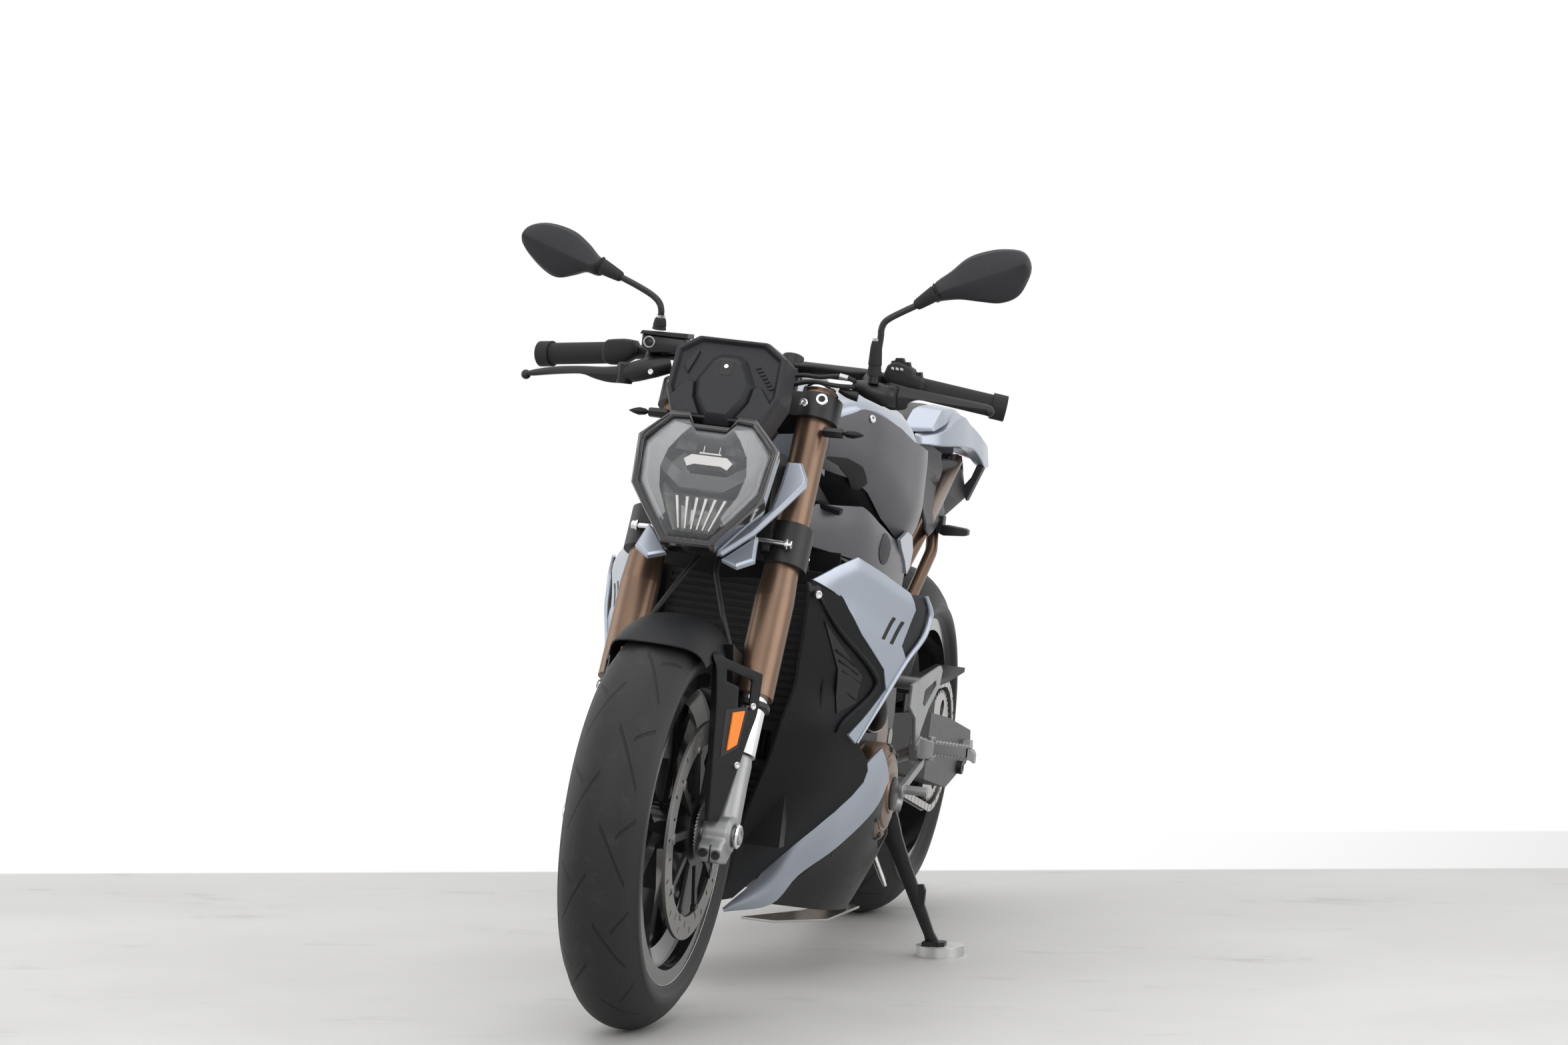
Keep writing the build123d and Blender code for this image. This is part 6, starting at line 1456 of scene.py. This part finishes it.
skirts = bent(seatShape["skirt"], lambda y, z: 171 - (y - 150) * 0.10 - max(0.0, z - 752) * 0.5, 24)
piece("seatSkirts", both(skirts), "dark", "chassis", wall=4.0)
pegs = [plate([(340, 722), (366, 722), (366, 752), (344, 752)], 148, 158, sideways),
        closed([[Vector((x, y, z)) for y, z in ((337 + k, low), (371 - k, low), (371 - k, high), (337 + k, high))]
                for x, k, low, high in seatShape["peg"]])]
piece("pillionFeet", both(joined(*pegs)), "black", "chassis", ["pillion_pegs"], edge=1.5, slot="black_metal")
print("tail made")


# A smooth sheet through rows of places.
def sheet(rows, fine, across):
    wide = [smoothLine(row, across) for row in rows]
    long = [smoothLine([row[k] for row in wide], fine) for k in range(len(wide[0]))]
    return mesh([[line[j] for line in long] for j in range(len(long[0]))])


# Duct panels from the radiator down to the belly pan.
cowlRows = [
    # height, front edge, middle, rear edge
    (664, (126, -437), (136, -424), (146, -411)),
    (640, (125, -436), (146, -412), (167, -383)),
    (584, (123, -432), (158, -392), (192, -341)),
    (530, (119, -427), (172, -364), (221, -284)),
    (500, (117, -424), (176, -352), (224, -276)),
    (450, (104, -430), (160, -386), (202, -322)),
    (420, (98, -430), (158, -382), (198, -320)),
    (386, (90, -428), (160, -366), (208, -268)),
    (350, (78, -424), (152, -362), (204, -258)),
    (300, (62, -414), (124, -354), (168, -274)),
    (245, (46, -398), (90, -346), (116, -286)),
    (190, (34, -366), (54, -324), (66, -292)),
    (146, (16, -354), (22, -330), (27, -306)),
]
duct = sheet([[(*spot, up) for spot in spots] for up, *spots in cowlRows], fine=2, across=4)
skin("cowlPanels", duct, "cowl", ["radiator_cowls"], wall=7.0, slot="dark_plastic")


# A place on the duct panel, by its share from front to rear, its height and how far it stands proud.
def cowlPoint(part, up, proud):
    front, middle, rear = (Vector((*tracked([(row[0], row[k]) for row in reversed(cowlRows)], up), up))
                           for k in (1, 2, 3))
    if part < 0.5:
        spot = blended(front * 2 - middle, front, middle, rear, part * 2)
    else:
        spot = blended(front, middle, rear, rear * 2 - middle, part * 2 - 1)
    run = rear - front
    return spot + Vector((-run.y, run.x, 0)).normalized() * -proud


ridgeLine = [(0.20, 646), (0.62, 590), (0.84, 534), (0.86, 500), (0.74, 452), (0.66, 432)]
ridge = tube([cowlPoint(u, v, 3.5) for u, v in ridgeLine], [2, 4, 4.6, 4.6, 4, 2], sides=10, steps=4)
piece("ductRidges", both(ridge), "cowl", "chassis")
openingShape = [(0.36, 604), (0.60, 560), (0.72, 520), (0.74, 478), (0.58, 462), (0.46, 486), (0.44, 530)]
piece("ductOpenings", both(plate(openingShape, -1.0, 3.2, cowlPoint)), "black", "chassis", edge=0.8)
lattice = [tube([cowlPoint(0.47 + 0.012 * k, 560 - 16 * k, 3.8), cowlPoint(0.66 + 0.008 * k, 536 - 13 * k, 3.8)], 1.5,
                sides=6, smooth=False) for k in range(5)]
piece("ductLattices", both(joined(*lattice)), "cowl", "chassis")

# Belly pan.
bellyShape = {
    "upper": [(12, -305, 128), (60, -289, 182), (114, -286, 260), (166, -276, 322), (206, -258, 380), (221, -232, 404)],
    "lower": [(14, -302, 122), (84, -284, 142), (120, -272, 192), (172, -254, 242), (214, -208, 301), (229, -188, 350)],
}
bladeOut, bladeCrown = Vector((0.55, -0.8, 0.2)), 7
bladeRows = [[low + (high - low) * part + bladeOut * (bladeCrown * math.sin(math.pi * part))
              for part in (0, 0.2, 0.4, 0.6, 0.8, 1)]
             for high, low in zip(smoothLine(bellyShape["upper"], 5), smoothLine(bellyShape["lower"], 5))]
skin("bellyBlades", mesh(bladeRows), "panel")
sides = sheet([
    [(84, -281, 142), (120, -268, 190), (170, -250, 240), (212, -205, 300), (226, -186, 344)],
    [(140, -170, 128), (162, -170, 165), (184, -165, 205), (202, -150, 245), (212, -140, 276)],
    [(152, -60, 118), (164, -60, 142), (176, -60, 168), (188, -60, 196), (197, -60, 222)],
    [(134, 38, 112), (146, 38, 138), (160, 38, 168), (176, 38, 204), (190, 38, 240)]], fine=5, across=3)
skin("bellySides", sides, "black", ["belly_pan"], wall=4.0, slot="satin_blue_grey")
under = plate([(40, -290), (90, -270), (150, -160), (158, 30), (120, 36), (96, -120)], 0, 4,
              lambda u, v, deep: Vector((u, v, 113 + deep - 0.03 * (u - 60))))
piece("bellyFloors", both(under), "brushed", "chassis", edge=1.0)

# The engine's left side: alternator cover, bolts, studs and a water hose.
coverSpot, outward = (-112, 322), (1, 0, 0)
ringProfile = [(79, -34), (79, -6), (76, 2), (70, 5), (58, 6), (54, 10), (34, 12), (31, 15), (26, 15)]
piece("alternatorCovers", turned(ringProfile, (206, *coverSpot), outward, 64), "bronze", "chassis", crease=25.0)
piece("alternatorCaps", turned([(27, 10), (27, 17), (24, 19), (0.2, 19)], (206, *coverSpot), outward, 48), "black",
      "chassis")
coverBolts = []
for k in range(9):
    turn = math.tau * (k + 0.3) / 9
    spot = (coverSpot[0] + 70 * math.cos(turn), coverSpot[1] + 70 * math.sin(turn))
    coverBolts += [turned([(8.5, -26), (8.5, 0), (7, 1.5)], (208, *spot), outward, 16),
                   screw((209, *spot), outward, 5.2, 4.5)]
piece("coverBolts", joined(*coverBolts), "black", "chassis")
studs = [plate([(y, z), (y + 6, z), (y + 6, z + 14), (y, z + 14)], 176, 186, sideways)
         for z in (470, 510, 550) for y in (-262, -236)]
piece("engineStuds", both(joined(*studs)), "black", "chassis", edge=1.0)
hose = tube([(168, -270, 560), (196, -258, 520), (206, -222, 470), (196, -176, 440), (176, -140, 428)], 13,
            sides=18)
piece("waterHoses", hose, "hose", "chassis")
clips = joined(*[turned([(14.6, -4), (15, -3), (15, 3), (14.6, 4)], spot, way, 24)
                 for spot, way in (((203, -243, 497), (0.25, 0.55, -0.8)), ((186, -158, 433), (-0.5, 0.85, -0.25)))])
piece("hoseClips", clips, "steel", "chassis")
print("engine side made")

# Foot rests, their guards and the levers.
footShape = {
    "heel": [(-6, 489), (208, 508), (222, 500), (210, 472), (140, 440), (96, 404), (84, 372), (62, 392), (44, 430),
             (-8, 452)],
    "slot": [(92, 474), (176, 486), (184, 477), (108, 446), (88, 452)],
    "arm": [(96, 398), (124, 392), (132, 362), (112, 348), (92, 356), (76, 384)],
    "leg": [(0.0, 21, 9), (0.1, 19, 8.5), (0.22, 14.5, 7.5), (0.4, 12, 7), (0.7, 10.5, 6.5), (0.93, 8.5, 6),
            (1.0, 11, 6)],
    "lever": [(112, 352), (104, 346), (-30, 314), (-44, 314), (-50, 322), (-44, 331), (-26, 330), (98, 360),
              (108, 364)],
}


# A plate seen from the side, with a hole through it.
def holed(outline, hole, low, high):
    shape = bmesh.new()
    sheets = []
    for deep in (low, high):
        outer, inner = ([shape.verts.new(sideways(*point, deep)) for point in ring] for ring in (outline, hole))
        sheets.append((outer, inner))
        edges = [shape.edges.new((loop[k - 1], loop[k])) for loop in (outer, inner) for k in range(len(loop))]
        bmesh.ops.triangle_fill(shape, edges=edges, use_beauty=True)
    for near, far in zip(*sheets):
        for k in range(len(near)):
            shape.faces.new((near[k - 1], near[k], far[k], far[k - 1]))
    return shape


plates = holed(footShape["heel"], footShape["slot"], 206, 212)
piece("heelGuards", both(plates), "cast", "chassis", ["heel_plates"], edge=1.2, slot="cast_silver")
hangers = [plate(footShape["arm"], 198, 214, sideways),
           tube([(146, 120, 480), (206, 120, 480)], 11, sides=20, steps=1),
           tube([(146, 120, 345), (180, 116, 360), (206, 112, 372)], 11, sides=20, steps=3),
           closed([[Vector((x, 104 + y * size, 378 + z * size)) for y, z in ((-1, -1), (1, -1), (1, 0.9), (-1, 1))]
                   for x, size in ((206, 17), (222, 17), (238, 13))]),
           turned([(7, -20), (7, 20)], (230, 104, 379), (0, 0, 1), 20)]
piece("pegHangers", both(joined(*hangers)), "cast", "chassis", edge=1.2)
rests = [plate([(95, 373), (117, 373), (117, 389), (95, 389)], 234, 294, sideways),
         closed([[Vector((x, 106 + y * k, 380 + z * k - drop)) for y, z in ((-11, -9), (11, -9), (11, 9), (-11, 9))]
                 for x, k, drop in ((292, 1, 0), (301, 1, 3), (305.5, 0.8, 8))])]
for k in range(11):
    x = 239 + k * 5.6
    for z, tip in ((389, 4.2), (373, -4.2)):
        rests.append(plate([(x - 2.4, z), (x + 2.4, z), (x, z + tip)], 96, 116, frontal))
piece("footRests", both(joined(*rests)), "cast", "chassis", ["foot_pegs"], slot="cast_silver")
levers = joined(plate(footShape["lever"], 213, 221, sideways),
                tube([(214, -38, 322), (262, -38, 323)], 7.5, sides=20, steps=1),
                turned([(11, -3), (12, 0), (12, 10), (9, 12)], (214, -44, 320), (1, 0, 0), 24),
                tube([(206, -60, 302), (212, -50, 300), (224, -46, 298)], [12, 13, 11], sides=20, steps=2))
piece("footLevers", both(levers), "cast", "chassis", ["foot_controls"], edge=0.8, slot="cast_silver")
rodLine = tube([(204, -96, 330), (206, -70, 318), (210, -50, 310)], 3.2, sides=10, steps=3)
piece("shiftRod", rodLine, "steel", "chassis")

# The side stand runs from its pivot to where the CAD foot stands.
standLow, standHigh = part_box("side_stand")
pivot, eyeTilt = Vector((172, 62, 272)), math.radians(17)
footMiddle = fromRow @ Vector((standHigh.x - 0.030, (standLow.y + standHigh.y) / 2, standLow.z + 0.008))
run = (footMiddle - pivot).normalized()
wideWay = run.cross(Vector((0, 1, 0))).normalized()
deepWay = run.cross(wideWay)
octagon = ((-1, -0.6), (-0.6, -1), (0.6, -1), (1, -0.6), (1, 0.6), (0.6, 1), (-0.6, 1), (-1, 0.6))
leg = closed([[pivot.lerp(footMiddle, part) + wideWay * wide * a + deepWay * thick * b for a, b in octagon]
              for part, wide, thick in footShape["leg"]])
flagAt = pivot.lerp(footMiddle, 0.60)
flag = plate([(4, -18), (14, -26), (22, -20), (22, 2), (17, 12), (6, 10)], -5, 5,
             lambda u, v, deep: flagAt + frontal(u, v, deep))
eyeRing = turned([(17, -9), (18, -8), (18, 8), (17, 9)], pivot, (math.cos(eyeTilt), 0, math.sin(eyeTilt)), 32)
pad = plate([(-16, -13), (14, -17), (22, -10), (22, 10), (14, 17), (-16, 13)], -5, 3,
            lambda u, v, deep: footMiddle + Vector((u, v, deep + u * 0.12)))
piece("standLeg", joined(leg, flag, eyeRing, pad), "black", "side_stand", ["side_stand"], edge=1.2,
      slot="black_metal")
springTop, springEnd, hookEnd = Vector((150, 52, 236)), Vector((168, 48, 197)), Vector((194, 44, 150))
coils = [(7.0 if k % 2 else 5.4, k * 1.7) for k in range(26)]
spring = joined(turned(coils, springTop, springEnd - springTop, 16),
                tube([springEnd, springEnd.lerp(hookEnd, 0.7), hookEnd], [5.0, 4.6, 3.0], sides=12, steps=3))
piece("standSpring", spring, "steel", "side_stand")
print("foot rests and stand made")

# The airbox shows between the frame and the cylinders.
airSides = [(-40, 476), (140, 470), (128, 600), (60, 664), (-60, 660), (-66, 560)]
airbox = closed([[Vector((x, y, z)) for y, z in airSides] for x in (-72, -64, 64, 72)])
piece("airbox", airbox, "cowl", "chassis", edge=6.0, segments=3)
